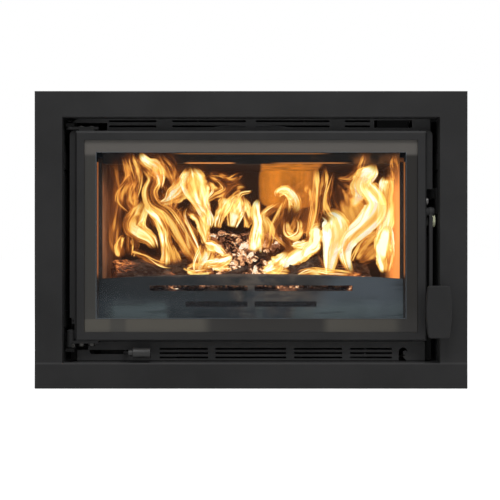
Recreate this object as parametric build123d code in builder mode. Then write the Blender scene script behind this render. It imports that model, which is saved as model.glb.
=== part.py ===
"""Inset wood-burning fireplace: a steel firebox in a convection casing, with a surround frame,
a side-hung glass door, a cam latch, an air control and a brick lining with its fuel.

Millimetres. X runs to the viewer's right, Y away from the viewer and Z up. The origin is on the wall
plane, at the middle of the surround frame's lower edge. The front of the object faces -Y.
"""

import os

from build123d import *

os.makedirs("parts", exist_ok=True)

# ---- surround frame ----
FRAME_W = 800.0
FRAME_H = 550.0
FRAME_DEPTH = 35.0
FRAME_SIDE = 51.0
FRAME_TOP = 48.0
FRAME_BOTTOM = 47.0
FRAME_SHEET = 2.5
FRAME_EDGE_R = 1.2
WALL_LIP = 12.0
OPEN_HALF_W = FRAME_W / 2 - FRAME_SIDE
OPEN_LOW_Z = FRAME_BOTTOM
OPEN_TOP_Z = FRAME_H - FRAME_TOP
HANGER_T = 2.0
HANGER_H = 30.0
HANGER_FRONT = 10.0
HANGER_BACK = 45.0
HANGER_INSET = 80.0

# ---- door ----
DOOR_SIDE_GAP = 23.0
DOOR_LOW_GAP = 40.5
DOOR_TOP_GAP = 24.0
DOOR_FRONT_SETBACK = 13.0
DOOR_DEPTH = 24.0
DOOR_FLANGE = 4.0
DOOR_WALL = 4.0
DOOR_RAIL_SIDE = 16.0
DOOR_RAIL_TOP = 17.0
DOOR_RAIL_BOTTOM = 16.0
DOOR_BEVEL = 2.5
DOOR_HALF_W = OPEN_HALF_W - DOOR_SIDE_GAP
DOOR_W = 2 * DOOR_HALF_W
DOOR_LOW_Z = OPEN_LOW_Z + DOOR_LOW_GAP
DOOR_TOP_Z = OPEN_TOP_Z - DOOR_TOP_GAP
DOOR_FRONT_Y = DOOR_FRONT_SETBACK - FRAME_DEPTH
DOOR_BACK_Y = DOOR_FRONT_Y + DOOR_DEPTH
DOOR_CAVITY_Y = DOOR_FRONT_Y + DOOR_FLANGE
GASKET_T = 1.0
GASKET_W = 4.0
GASKET_INSET = 0.5
GLASS_T = 4.0
GLASS_INSET = 11.0
GLASS_Y = DOOR_CAVITY_Y + GASKET_T
BOSS_W = 6.5
BOSS_L = 12.0
BOSS_SCREW_DEPTH = 5.0
BOSS_HEAD_R = 3.0
BOSS_X_SHARES = (-0.36, -0.12, 0.12, 0.36)
BOSS_Z_SHARES = (0.25, 0.75)
RETAINER_T = 2.0
RETAINER_W = 30.0
RETAINER_GAP = 0.5
RETAINER_Y = GLASS_Y + GLASS_T
ROPE_INSET = 16.0
ROPE_W = 12.0
ROPE_WALL = 2.0
ROPE_WALL_H = 10.0
ROPE_SIDE_GAP = 0.3
ROPE_FACE_GAP = 0.4
ROPE_EDGE_R = 3.5
ROPE_Y = RETAINER_Y + RETAINER_T

# ---- grilles ----
GRILLE_SHEET = 2.0
GRILLE_Y = 2.0
GRILLE_BACK_Y = GRILLE_Y + GRILLE_SHEET
GRILLE_FLANGE = 26.0
GRILLE_FLANGE_INSET = 10.0
GRILLE_DOOR_GAP = 2.5
SLOT_H = 3.6
TOP_GRILLE_SIDE_GAP = 13.0
TOP_GRILLE_SLANT = 11.0
TOP_GRILLE_HALF_W = OPEN_HALF_W - TOP_GRILLE_SIDE_GAP
TOP_GRILLE_LOW_Z = DOOR_TOP_Z + GRILLE_DOOR_GAP
TOP_SLOT_DROPS = (4.1, 13.7)
TOP_SLOT_ROWS = [OPEN_TOP_Z - drop for drop in TOP_SLOT_DROPS]
TOP_SLOT_SHARES = ((-0.792, -0.530), (-0.440, -0.030), (0.027, 0.438), (0.524, 0.664))
HINGE_NOTCH_W = 66.0
HINGE_NOTCH_H = 14.0
HINGE_NOTCH_END_X = HINGE_NOTCH_W - TOP_GRILLE_HALF_W
HINGE_NOTCH_TOP_Z = TOP_GRILLE_LOW_Z + HINGE_NOTCH_H
NOTCH_INSET = 34.0
NOTCH_W = 71.0
NOTCH_DROP = 2.3
NOTCH_H = 14.1
NOTCH_X = (TOP_GRILLE_HALF_W - NOTCH_INSET - NOTCH_W, TOP_GRILLE_HALF_W - NOTCH_INSET)
NOTCH_Z = (OPEN_TOP_Z - NOTCH_DROP - NOTCH_H, OPEN_TOP_Z - NOTCH_DROP)
RECESS_SETBACK = 6.0
RECESS_RISE = 1.5
BOTTOM_GRILLE_SIDE_GAP = 23.0
BOTTOM_GRILLE_STEP_W = 20.5
BOTTOM_GRILLE_HALF_W = OPEN_HALF_W - BOTTOM_GRILLE_SIDE_GAP
BOTTOM_GRILLE_TOP_Z = DOOR_LOW_Z - GRILLE_DOOR_GAP
BOTTOM_GRILLE_STEP_X = BOTTOM_GRILLE_STEP_W - BOTTOM_GRILLE_HALF_W
BOTTOM_SLOT_RISES = (23.9, 15.9, 7.7)
BOTTOM_SLOT_ROWS = [OPEN_LOW_Z + rise for rise in BOTTOM_SLOT_RISES]
BOTTOM_SLOT_SHARES = ((-0.526, -0.248), (-0.205, 0.202), (0.248, 0.524), (0.570, 0.810))
HOOK_INSET = 49.0
HOOK_STEM_W = 8.5
HOOK_FOOT_W = 14.0
HOOK_HEAD_R = 8.0
HOOK_TONGUE_R = 4.2
HOOK_H = 26.5
HOOK_X = BOTTOM_GRILLE_HALF_W - HOOK_INSET
CUT_PAST = 1.0

# ---- firebox ----
PLATE = 5.0
FRONT_PLATE_Y = GRILLE_BACK_Y
BOX_FRONT_Y = FRONT_PLATE_Y + PLATE
BOX_DEPTH = 341.0
FIREBOX_BACK_Y = BOX_FRONT_Y + BOX_DEPTH
FRONT_PLATE_REACH = 2.0
FRONT_PLATE_HALF_W = TOP_GRILLE_HALF_W + FRONT_PLATE_REACH
FRONT_PLATE_RISE = 0.5
FRONT_PLATE_LOW_Z = DOOR_LOW_Z + FRONT_PLATE_RISE
FRONT_PLATE_TOP_Z = DOOR_TOP_Z
CHEEK_W = 11.0
CHEEK_LOW_GAP = 3.0
CHEEK_LOW_Z = OPEN_LOW_Z + CHEEK_LOW_GAP
CHEEK_TOP_Z = OPEN_TOP_Z - GRILLE_SHEET
MOUTH_SIDE = 34.0
MOUTH_RISE = 34.5
MOUTH_DROP = 32.0
MOUTH_HALF_W = DOOR_HALF_W - MOUTH_SIDE
MOUTH_LOW_Z = DOOR_LOW_Z + MOUTH_RISE
MOUTH_TOP_Z = DOOR_TOP_Z - MOUTH_DROP
AIRWAY_SIDE = 37.0
AIRWAY_BASE = 58.0
AIRWAY_TOP = 32.0
AIRWAY_BACK = 30.0
FIREBOX_W = 2 * (OPEN_HALF_W - AIRWAY_SIDE)
FIREBOX_BASE_Z = OPEN_LOW_Z + AIRWAY_BASE
FIREBOX_TOP_Z = OPEN_TOP_Z - AIRWAY_TOP
BOX_INNER_HALF = FIREBOX_W / 2 - PLATE
BASE_TOP_Z = FIREBOX_BASE_Z + PLATE
SUPPORT_INSET = 112.0
SUPPORT_W = 40.0
SUPPORT_SHEET = 3.0
SUPPORT_FRONT = 51.0
SUPPORT_BACK = 20.0
SUPPORT_X = FIREBOX_W / 2 - SUPPORT_INSET
SUPPORT_Y = (BOX_FRONT_Y + SUPPORT_FRONT, FIREBOX_BACK_Y - SUPPORT_BACK)
FLUE_R = 76.0
FLUE_WALL = 5.0
FLUE_SHELF = 4.0
FLUE_FLANGE_R = 97.0
FLUE_RISE = 90.0
FLUE_FROM_BACK = 145.0
FLUE_HOLE_GAP = 3.0
FLUE_Y = FIREBOX_BACK_Y - FLUE_FROM_BACK
FLUE_TOP_Z = FIREBOX_TOP_Z + FLUE_RISE
FLUE_BOLTS = 6
FLUE_BOLT_HEAD_R = 6.0
FLUE_BOLT_HEAD_H = 5.0
FLUE_BOLT_RING = (FLUE_R + FLUE_WALL + FLUE_FLANGE_R) / 2

# ---- casing that the room's air rises through ----
CASING_SHEET = 1.5
CASING_FLANGE = 12.0
CASING_FLANGE_FRONT = 35.0
CASING_INNER = OPEN_HALF_W
CASING_HALF_W = CASING_INNER + CASING_SHEET
CASING_LOW_Z = OPEN_LOW_Z - CASING_SHEET
CASING_TOP_Z = OPEN_TOP_Z + CASING_SHEET
CASING_BACK_Y = FIREBOX_BACK_Y + AIRWAY_BACK
FOOT_R = 22.0
FOOT_PAD_H = 8.0
FOOT_STEM_R = 6.0
FOOT_NUT_R = 11.0
FOOT_NUT_H = 8.0
FOOT_SIDE = 60.0
FOOT_FRONT = 72.0
FOOT_BACK = 60.0
FOOT_Y = (FOOT_FRONT, CASING_BACK_Y - FOOT_BACK)
FIXING_R = 5.0
FIXING_SIDE = 110.5
FIXING_FRONT = 90.0
FIXING_BACK = 90.0
FIXING_HALF_X = CASING_HALF_W - FIXING_SIDE
FIXING_Y = (FIXING_FRONT, CASING_BACK_Y - FIXING_BACK)

# ---- screws ----
SCREW_R = 2.0
SCREW_HEAD_R = 3.4
SCREW_HEAD_H = 2.2
SCREW_LENGTH = 8.0
SCREW_GAP = 0.1
GRILLE_SCREW_Y = GRILLE_BACK_Y + GRILLE_FLANGE / 2
TOP_SCREW_SHARES = (-0.89, -0.30, 0.30, 0.89)
TOP_SCREW_X = [share * TOP_GRILLE_HALF_W for share in TOP_SCREW_SHARES]
BOTTOM_SCREW_SHARES = (-0.34, 0.29, 0.92)
BOTTOM_SCREW_X = [share * BOTTOM_GRILLE_HALF_W for share in BOTTOM_SCREW_SHARES]
CASING_SCREW_X = CASING_INNER - CASING_FLANGE / 2
CASING_SCREW_ENDS = (60.0, 40.0)
CASING_SCREW_FRONT = CASING_SCREW_ENDS[0]
CASING_SCREW_BACK = CASING_BACK_Y - CASING_SCREW_ENDS[1]
CASING_SCREW_Y = (CASING_SCREW_FRONT, (CASING_SCREW_FRONT + CASING_SCREW_BACK) / 2, CASING_SCREW_BACK)

# ---- brick lining ----
BRICK = 25.0
BRICK_GAP = 0.5
BRICK_SETBACK = 17.0
BRICK_TOP_DROP = 47.0
BRICK_FACE_X = BOX_INNER_HALF - BRICK_GAP - BRICK
BRICK_FRONT_Y = BOX_FRONT_Y + BRICK_SETBACK
BRICK_TOP_Z = FIREBOX_TOP_Z - BRICK_TOP_DROP
BACK_BRICK_Y = FIREBOX_BACK_Y - PLATE - BRICK_GAP - BRICK
HEARTH_T = 25.0
HEARTH_LIP_W = 6.0
HEARTH_LIP_H = 8.0
HEARTH_Z = BASE_TOP_Z + HEARTH_T
THROAT_T = 14.0
THROAT_SETBACK = 84.0
THROAT_OVERLAP = 18.0
THROAT_FRONT_Y = BRICK_FRONT_Y + THROAT_SETBACK
AIRWASH_T = 2.0
AIRWASH_REACH = 20.0
AIRWASH_HANG = 26.0
AIRWASH_RISE = 14.0
AIRWASH_GAP = 1.0

# ---- log guard ----
GUARD_T = 6.0
GUARD_LAP = 5.5
GUARD_FOOT_D = 9.5
GUARD_FOOT_T = 3.0
GUARD_SIDE_H = 67.0
GUARD_CROWN_H = 76.0
GUARD_GAP = 0.5
GUARD_SLOT_H = 10.5
GUARD_SLOT_R = 2.0
GUARD_UPPER_H = 49.0
GUARD_LOWER_H = 19.0
GUARD_UPPER_SHARE = 0.669
GUARD_LOWER_SHARE = 0.432
GUARD_WEB = 13.0
GUARD_HALF_W = BRICK_FACE_X + GUARD_LAP

# ---- hinge: two pins on one upright line beside the door ----
HINGE_SIDE = 10.5
HINGE_SETBACK = 9.0
HINGE_X = -(DOOR_HALF_W + HINGE_SIDE)
HINGE_Y = DOOR_FRONT_Y + HINGE_SETBACK
PIN_R = 3.5
PIN_GRIP = 0.02
RUN_GAP = 0.05
HINGE_PLATE_T = 5.0
HINGE_PLATE_REACH = 42.0
HINGE_PLATE_FRONT = 2.5
HINGE_PLATE_DEPTH = 15.0
HINGE_PLATE_END_X = HINGE_PLATE_REACH - DOOR_HALF_W
HINGE_EYE_R = 8.0
HINGE_SPACER_H = 2.5
HINGE_SPACER_INSETS = (6.0, 34.0)
HINGE_SPACER_X = [inset - DOOR_HALF_W for inset in HINGE_SPACER_INSETS]
HINGE_GAP = 0.5
UPPER_PLATE_Z = DOOR_TOP_Z + HINGE_SPACER_H
LOWER_PLATE_Z = DOOR_LOW_Z - HINGE_PLATE_T
BARREL_R = 7.3
BARREL_DROP = 9.0
BARREL_RISE = 25.5
BARREL_CAP = 4.0
BARREL_EDGE = 2.5
BARREL_LOW_Z = LOWER_PLATE_Z - BARREL_DROP
BARREL_TOP_Z = LOWER_PLATE_Z + BARREL_RISE
HINGE_BOLT_INSETS = (10.0, 29.0)
HINGE_BOLT_X = [inset - DOOR_HALF_W for inset in HINGE_BOLT_INSETS]
HINGE_BOLT_R = 3.0
HINGE_BOLT_HEAD_R = 6.0
HINGE_BOLT_HEAD_H = 6.0
LUG_NEAR = 2.5
LUG_W = 7.0
LUG_FRONT = 1.5
LUG_DEPTH = 11.0
LUG_RISE = 1.0
LUG_X = (HINGE_X + LUG_NEAR, HINGE_X + LUG_NEAR + LUG_W)
LUG_LOW_Z = BARREL_LOW_Z + LUG_RISE
BRACKET_T = 6.0
BRACKET_LEFT = 8.0
BRACKET_RIGHT = 7.5
BRACKET_FRONT = 8.0
BRACKET_X = (HINGE_X - BRACKET_LEFT, HINGE_X + BRACKET_RIGHT)
BRACKET_FRONT_Y = HINGE_Y - BRACKET_FRONT

# ---- latch ----
LEVER_SIDE = 5.5
LEVER_T = 6.0
LEVER_W = 15.0
LEVER_HUB_R = 9.0
SIDE_GAP = 0.3
PIVOT_SETBACK = 10.0
PIVOT_RISE = 44.75
PIVOT_R = 5.5
PIVOT_COLLAR_R = 8.0
PIVOT_HEAD = 3.0
PIVOT_SHANK_R = 4.0
LEVER_X = DOOR_HALF_W + LEVER_SIDE
LEVER_OUT_X = LEVER_X + LEVER_T
PIVOT_Y = DOOR_FRONT_Y + PIVOT_SETBACK
PIVOT_Z = (DOOR_LOW_Z + DOOR_TOP_Z) / 2 + PIVOT_RISE
ROLLER_BACK = 22.0
ROLLER_DROP = 17.0
ROLLER_R = 11.5
ROLLER_W = 7.5
ROLLER_EDGE = 0.8
ROLLER_PIN_R = 3.0
ROLLER_PIN_HEAD_R = 5.0
ROLLER_PIN_HEAD = 1.5
ROLLER_X = LEVER_OUT_X + SIDE_GAP
ROLLER_Y = PIVOT_Y + ROLLER_BACK
ROLLER_Z = PIVOT_Z - ROLLER_DROP
WASHER_R = 11.0
WASHER_T = 2.5
LEVER_KNEE_DROP = 141.5
LEVER_ELBOW_DROP = 163.5
LEVER_KNEE_Z = PIVOT_Z - LEVER_KNEE_DROP
LEVER_ELBOW_Z = PIVOT_Z - LEVER_ELBOW_DROP
FOOT_PLATE_T = 2.5
FOOT_PLATE_W = 34.0
FOOT_PLATE_H = 58.0
FOOT_PLATE_DROP = 151.5
FOOT_PLATE_X = (DOOR_HALF_W, DOOR_HALF_W + FOOT_PLATE_W)
FOOT_PLATE_Z = (PIVOT_Z - FOOT_PLATE_DROP - FOOT_PLATE_H, PIVOT_Z - FOOT_PLATE_DROP)
PADDLE_SIDE = 11.7
PADDLE_W = 46.5
PADDLE_TOP_W = 39.0
PADDLE_LOW_W = 37.0
PADDLE_H = 96.0
PADDLE_DROP = 136.5
PADDLE_T = 14.0
PADDLE_STANDOFF = 17.0
PADDLE_CORNER_R = 5.0
PADDLE_EDGE_R = 2.5
PADDLE_SCREW_SIDE = 10.0
PADDLE_SCREW_INSET = 15.0
PADDLE_X = LEVER_X + PADDLE_SIDE
PADDLE_TOP_Z = PIVOT_Z - PADDLE_DROP
PADDLE_LOW_Z = PADDLE_TOP_Z - PADDLE_H
PADDLE_BACK_Y = -(FRAME_DEPTH + PADDLE_STANDOFF)
PADDLE_SCREW_X = LEVER_OUT_X + PADDLE_SCREW_SIDE
PADDLE_SCREW_Z = (FOOT_PLATE_Z[0] + PADDLE_SCREW_INSET, FOOT_PLATE_Z[1] - PADDLE_SCREW_INSET)
STOP_RISE = 19.5
STOP_R = 7.0
STOP_HEAD = 3.6
STOP_Z = PIVOT_Z + STOP_RISE
KEEPER_T = 4.0
KEEPER_DROP = 4.0
KEEPER_RISE = 44.5
KEEPER_SETBACK = 4.0
KEEPER_RAMP = 8.0
KEEPER_FOOT_H = 19.0
KEEPER_Z = (PIVOT_Z - KEEPER_DROP, PIVOT_Z + KEEPER_RISE)
KEEPER_Y = (PIVOT_Y + KEEPER_SETBACK, BOX_FRONT_Y)
LATCH_SPACE_DROP = 45.5
LATCH_SPACE_RISE = 22.5
LATCH_SPACE_Z = (PIVOT_Z - LATCH_SPACE_DROP, PIVOT_Z + LATCH_SPACE_RISE)

# ---- jamb strips ----
STRIP_W = 11.0
STRIP_SHEET = 2.0
STRIP_SETBACK = 8.5
STRIP_GAP = 1.0
STRIP_CORNER_R = 8.0
STRIP_LEFT_RISE = 42.5
STRIP_RIGHT_RISE = 42.5
STRIP_TAB_W = 7.0
STRIP_TAB_H = 11.0
STRIP_TAB_HOLE_R = 1.8
STRIP_TAB_HOLE_INSET = 2.4
STRIP_TAIL_W = 2.0
STRIP_TAIL_RISE = 3.5
STRIP_FRONT_Y = DOOR_FRONT_Y + STRIP_SETBACK
STRIP_TOP_Z = DOOR_TOP_Z + STRIP_GAP
STRIP_LEFT_LOW_Z = DOOR_LOW_Z + STRIP_LEFT_RISE
STRIP_RIGHT_LOW_Z = PIVOT_Z + STRIP_RIGHT_RISE
STRIP_TAIL_LOW_Z = DOOR_LOW_Z + STRIP_TAIL_RISE

# ---- air control ----
AIR_RISE = 18.0
AIR_SLOT_INSET = 23.0
AIR_SLOT_W = 111.0
AIR_SLOT_H = 8.0
AIR_SLOT_CHAMFER = 3.0
AIR_Z = OPEN_LOW_Z + AIR_RISE
AIR_SLOT_X = (AIR_SLOT_INSET - BOTTOM_GRILLE_HALF_W, AIR_SLOT_INSET + AIR_SLOT_W - BOTTOM_GRILLE_HALF_W)
ROD_IN_SLOT = 68.0
ROD_R = 3.2
ROD_BEND_R = 7.0
ROD_IN_KNOB = 18.0
ROD_X = AIR_SLOT_X[0] + ROD_IN_SLOT
KNOB_SIDE = 15.5
KNOB_STANDOFF = 1.0
KNOB_L = 33.0
KNOB_R = 10.0
KNOB_WAIST_R = 9.2
KNOB_EDGE_R = 1.5
COLLAR_R = 6.0
COLLAR_L = 8.0
KNOB_X = ROD_X + KNOB_SIDE
KNOB_Y = DOOR_FRONT_Y - KNOB_STANDOFF
HOUSING_STANDOFF = 5.0
HOUSING_DEPTH = 36.0
HOUSING_REACH = 95.0
HOUSING_LOW_GAP = 5.0
HOUSING_SHEET = 2.0
HOUSING_Y = BOX_FRONT_Y + HOUSING_STANDOFF
HOUSING_X = (ROD_X - HOUSING_REACH, ROD_X + HOUSING_REACH)
HOUSING_LOW_Z = OPEN_LOW_Z + HOUSING_LOW_GAP
PORT_R = 7.0
PORT_OFFSETS = (-55.0, -10.0, 35.0)
PORT_X = [ROD_X + offset for offset in PORT_OFFSETS]
BASE_PORT_R = 5.5
BASE_PORT_Y = (BOX_FRONT_Y + BRICK_FRONT_Y) / 2
SLIDE_T = 2.5
SLIDE_H = 20.0
SLIDE_LEFT = 30.0
SLIDE_RIGHT = 66.0
SLIDE_GAP = 0.2
SLIDE_X = (ROD_X - SLIDE_LEFT, ROD_X + SLIDE_RIGHT)
SLIDE_Y = HOUSING_Y - SLIDE_GAP - SLIDE_T

# ---- fuel ----
EMBER_GAP = 4.0
EMBER_FRONT = 18.0
EMBER_BACK = 5.5
EMBER_H = 49.0
EMBER_TAPER = 24.0
EMBER_Y = (BRICK_FRONT_Y + EMBER_FRONT, BACK_BRICK_Y - EMBER_BACK)
EMBER_TOP_Z = HEARTH_Z + EMBER_H
LOG_FLAT = 0.8
LOG_REST_GAP = 0.3
LOG_BACK_R = 32.0
LOG_BACK_DEPTHS = (0.807, 0.763)
LOG_BACK_SHARES = (-0.657, 0.640)
LOG_LEFT_R = 27.0
LOG_LEFT_DEPTHS = (0.200, 0.378)
LOG_LEFT_SHARES = (-0.955, -0.460)
LOG_RIGHT_R = 26.0
LOG_RIGHT_DEPTHS = (0.274, 0.430)
LOG_RIGHT_SHARES = (0.249, 0.824)
LOG_TOP_R = 22.0
LOG_TOP_DEPTHS = (0.719, 0.800)
LOG_TOP_SHARES = (-0.533, 0.213)
HEAP_PLACE_SHARES = (-0.078, 0.448)
HEAP_REACH_SHARES = (0.327, 0.193)
HEAP_CROWN_SHARE = 0.4
HEAP_H = 80.0


def mid(span):
    """The middle of a (low, high) span."""
    return (span[0] + span[1]) / 2


def block(x, y, z, mode=Mode.ADD):
    """A box that fills three (low, high) spans."""
    with Locations((mid(x), mid(y), mid(z))):
        Box(x[1] - x[0], y[1] - y[0], z[1] - z[0], mode=mode)


def rod_x(radius, x, y, z, mode=Mode.ADD):
    """A round bar along X that fills the span x."""
    with Locations(Location((mid(x), y, z), (0, 90, 0))):
        Cylinder(radius, x[1] - x[0], mode=mode)


def rod_y(radius, x, y, z, mode=Mode.ADD):
    """A round bar along Y that fills the span y."""
    with Locations(Location((x, mid(y), z), (90, 0, 0))):
        Cylinder(radius, y[1] - y[0], mode=mode)


def rod_z(radius, x, y, z, mode=Mode.ADD):
    """A round bar along Z that fills the span z."""
    with Locations((x, y, mid(z))):
        Cylinder(radius, z[1] - z[0], mode=mode)


def side_span(side, near, far):
    """The X span from near to far on the left (side -1) or right (side 1)."""
    return tuple(sorted((side * near, side * far)))


def save(part, name):
    """Labels a finished piece and writes its STEP file."""
    part.label = name
    export_step(part, f"parts/{name}.step")


# ================================ surround frame ================================

def make_surround_frame():
    """A folded picture frame: a flat face, inner and outer returns, and a lip on the wall."""
    face = Plane.XZ.offset(FRAME_DEPTH)
    middle_z = mid((OPEN_LOW_Z, OPEN_TOP_Z))
    open_w, open_h = 2 * OPEN_HALF_W, OPEN_TOP_Z - OPEN_LOW_Z
    return_w, return_h = open_w + 2 * FRAME_SHEET, open_h + 2 * FRAME_SHEET
    with BuildPart() as frame:
        with BuildSketch(face):
            with Locations((0, FRAME_H / 2)):
                Rectangle(FRAME_W, FRAME_H)
            with Locations((0, middle_z)):
                Rectangle(open_w, open_h, mode=Mode.SUBTRACT)
        extrude(amount=-FRAME_DEPTH)
        with BuildSketch(face.offset(-FRAME_SHEET)):
            with Locations((0, FRAME_H / 2)):
                Rectangle(FRAME_W - 2 * FRAME_SHEET, FRAME_H - 2 * FRAME_SHEET)
            with Locations((0, middle_z)):
                Rectangle(return_w, return_h, mode=Mode.SUBTRACT)
        extrude(amount=-(FRAME_DEPTH - 2 * FRAME_SHEET), mode=Mode.SUBTRACT)
        with BuildSketch(Plane.XZ.offset(FRAME_SHEET)):
            with Locations((0, FRAME_H / 2)):
                Rectangle(FRAME_W - 2 * WALL_LIP, FRAME_H - 2 * WALL_LIP)
            with Locations((0, middle_z)):
                Rectangle(return_w, return_h, mode=Mode.SUBTRACT)
        extrude(amount=-FRAME_SHEET, mode=Mode.SUBTRACT)
        fillet(frame.faces().sort_by(Axis.Y)[0].edges(), FRAME_EDGE_R)
    save(frame.part, "surround_frame")


def make_frame_hangers():
    """Four plates inside the casing's sides that hold the frame's inner return."""
    depth = (-HANGER_FRONT, HANGER_BACK)
    with BuildPart() as hangers:
        for side in (-1, 1):
            for height in (OPEN_LOW_Z + HANGER_INSET, OPEN_TOP_Z - HANGER_INSET):
                span = (height - HANGER_H / 2, height + HANGER_H / 2)
                block(side_span(side, OPEN_HALF_W - HANGER_T, OPEN_HALF_W), depth, span)
    save(hangers.part, "frame_hangers")


# ================================ grilles ================================

def slot_rows(half_w, shares, rows):
    """Air slots in an XZ sketch: on each row, one slot between each two shares of the half width."""
    for near, far in shares:
        for row in rows:
            with Locations((half_w * mid((near, far)), row)):
                Rectangle(half_w * (far - near), SLOT_H, mode=Mode.SUBTRACT)


def make_top_grille():
    """The warm-air outlet: a slotted face under a flange, cut away round the upper hinge."""
    left, right = -TOP_GRILLE_HALF_W, TOP_GRILLE_HALF_W
    low, top = TOP_GRILLE_LOW_Z, OPEN_TOP_Z
    outline = [
        (right, low), (right, top), (left + TOP_GRILLE_SLANT, top), (left, HINGE_NOTCH_TOP_Z),
        (HINGE_NOTCH_END_X, HINGE_NOTCH_TOP_Z), (HINGE_NOTCH_END_X, low),
    ]
    flange_half = TOP_GRILLE_HALF_W - TOP_GRILLE_SLANT
    flange_z = (top - GRILLE_SHEET, top)
    with BuildPart() as grille:
        with BuildSketch(Plane.XZ.offset(-GRILLE_Y)):
            with BuildLine():
                Polyline(*outline, close=True)
            make_face()
            slot_rows(TOP_GRILLE_HALF_W, TOP_SLOT_SHARES, TOP_SLOT_ROWS)
            with Locations((mid(NOTCH_X), mid(NOTCH_Z))):
                Rectangle(NOTCH_X[1] - NOTCH_X[0], NOTCH_Z[1] - NOTCH_Z[0], mode=Mode.SUBTRACT)
        extrude(amount=-GRILLE_SHEET)
        block((-flange_half, flange_half), (GRILLE_BACK_Y, GRILLE_BACK_Y + GRILLE_FLANGE), flange_z)
        recess_y = GRILLE_BACK_Y + RECESS_SETBACK
        recess_x = (NOTCH_X[0] + RECESS_SETBACK, NOTCH_X[1] - RECESS_SETBACK)
        block(recess_x, (recess_y, recess_y + GRILLE_SHEET), (low + RECESS_RISE, flange_z[0]))
        for x in TOP_SCREW_X:
            rod_z(SCREW_R + SCREW_GAP, x, GRILLE_SCREW_Y, flange_z, mode=Mode.SUBTRACT)
    save(grille.part, "top_grille")


def make_bottom_grille():
    """The cool-air inlet: a slotted face with the air control's slot and a hook-shaped tool slot."""
    left, right = -BOTTOM_GRILLE_HALF_W, BOTTOM_GRILLE_HALF_W
    low, top = OPEN_LOW_Z, BOTTOM_GRILLE_TOP_Z
    slot_z = (AIR_Z - AIR_SLOT_H / 2, AIR_Z + AIR_SLOT_H / 2)
    slot_l, slot_r = AIR_SLOT_X
    hook_end = HOOK_X + HOOK_FOOT_W
    stem_end = HOOK_X + HOOK_STEM_W
    head_z = low + HOOK_H - HOOK_HEAD_R
    step_z = slot_z[1]
    with BuildPart() as grille:
        with BuildSketch(Plane.XZ.offset(-GRILLE_Y)):
            with BuildLine():
                Polyline(
                    (left, low), (right, low), (right, top), (BOTTOM_GRILLE_STEP_X, top),
                    (BOTTOM_GRILLE_STEP_X, step_z), (left, step_z), close=True,
                )
            make_face()
            slot_rows(BOTTOM_GRILLE_HALF_W, BOTTOM_SLOT_SHARES, BOTTOM_SLOT_ROWS)
            with BuildSketch(mode=Mode.SUBTRACT):
                with BuildLine():
                    Polyline(
                        (slot_l, slot_z[1]), (slot_r, slot_z[1]), (slot_r, slot_z[0]),
                        (slot_l + AIR_SLOT_CHAMFER, slot_z[0]), (slot_l, AIR_Z), close=True,
                    )
                make_face()
            with BuildSketch(mode=Mode.SUBTRACT):
                with Locations((HOOK_X + HOOK_HEAD_R, head_z)):
                    Circle(HOOK_HEAD_R)
                with BuildLine():
                    Polyline(
                        (HOOK_X, low - CUT_PAST), (hook_end, low - CUT_PAST), (hook_end, low + GRILLE_SHEET),
                        (stem_end, low + HOOK_STEM_W), (stem_end, head_z), (HOOK_X, head_z), close=True,
                    )
                make_face()
                with Locations((hook_end - HOOK_TONGUE_R / 2, head_z - HOOK_TONGUE_R / 2)):
                    Circle(HOOK_TONGUE_R, mode=Mode.SUBTRACT)
        extrude(amount=-GRILLE_SHEET)
        flange_half = BOTTOM_GRILLE_HALF_W - GRILLE_FLANGE_INSET
        flange_y = (GRILLE_BACK_Y, GRILLE_BACK_Y + GRILLE_FLANGE)
        block((-flange_half, flange_half), flange_y, (low, low + GRILLE_SHEET))
        for x in BOTTOM_SCREW_X:
            rod_z(SCREW_R + SCREW_GAP, x, GRILLE_SCREW_Y, (low, low + GRILLE_SHEET), mode=Mode.SUBTRACT)
    save(grille.part, "bottom_grille")


# ================================ casing and feet ================================

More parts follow.
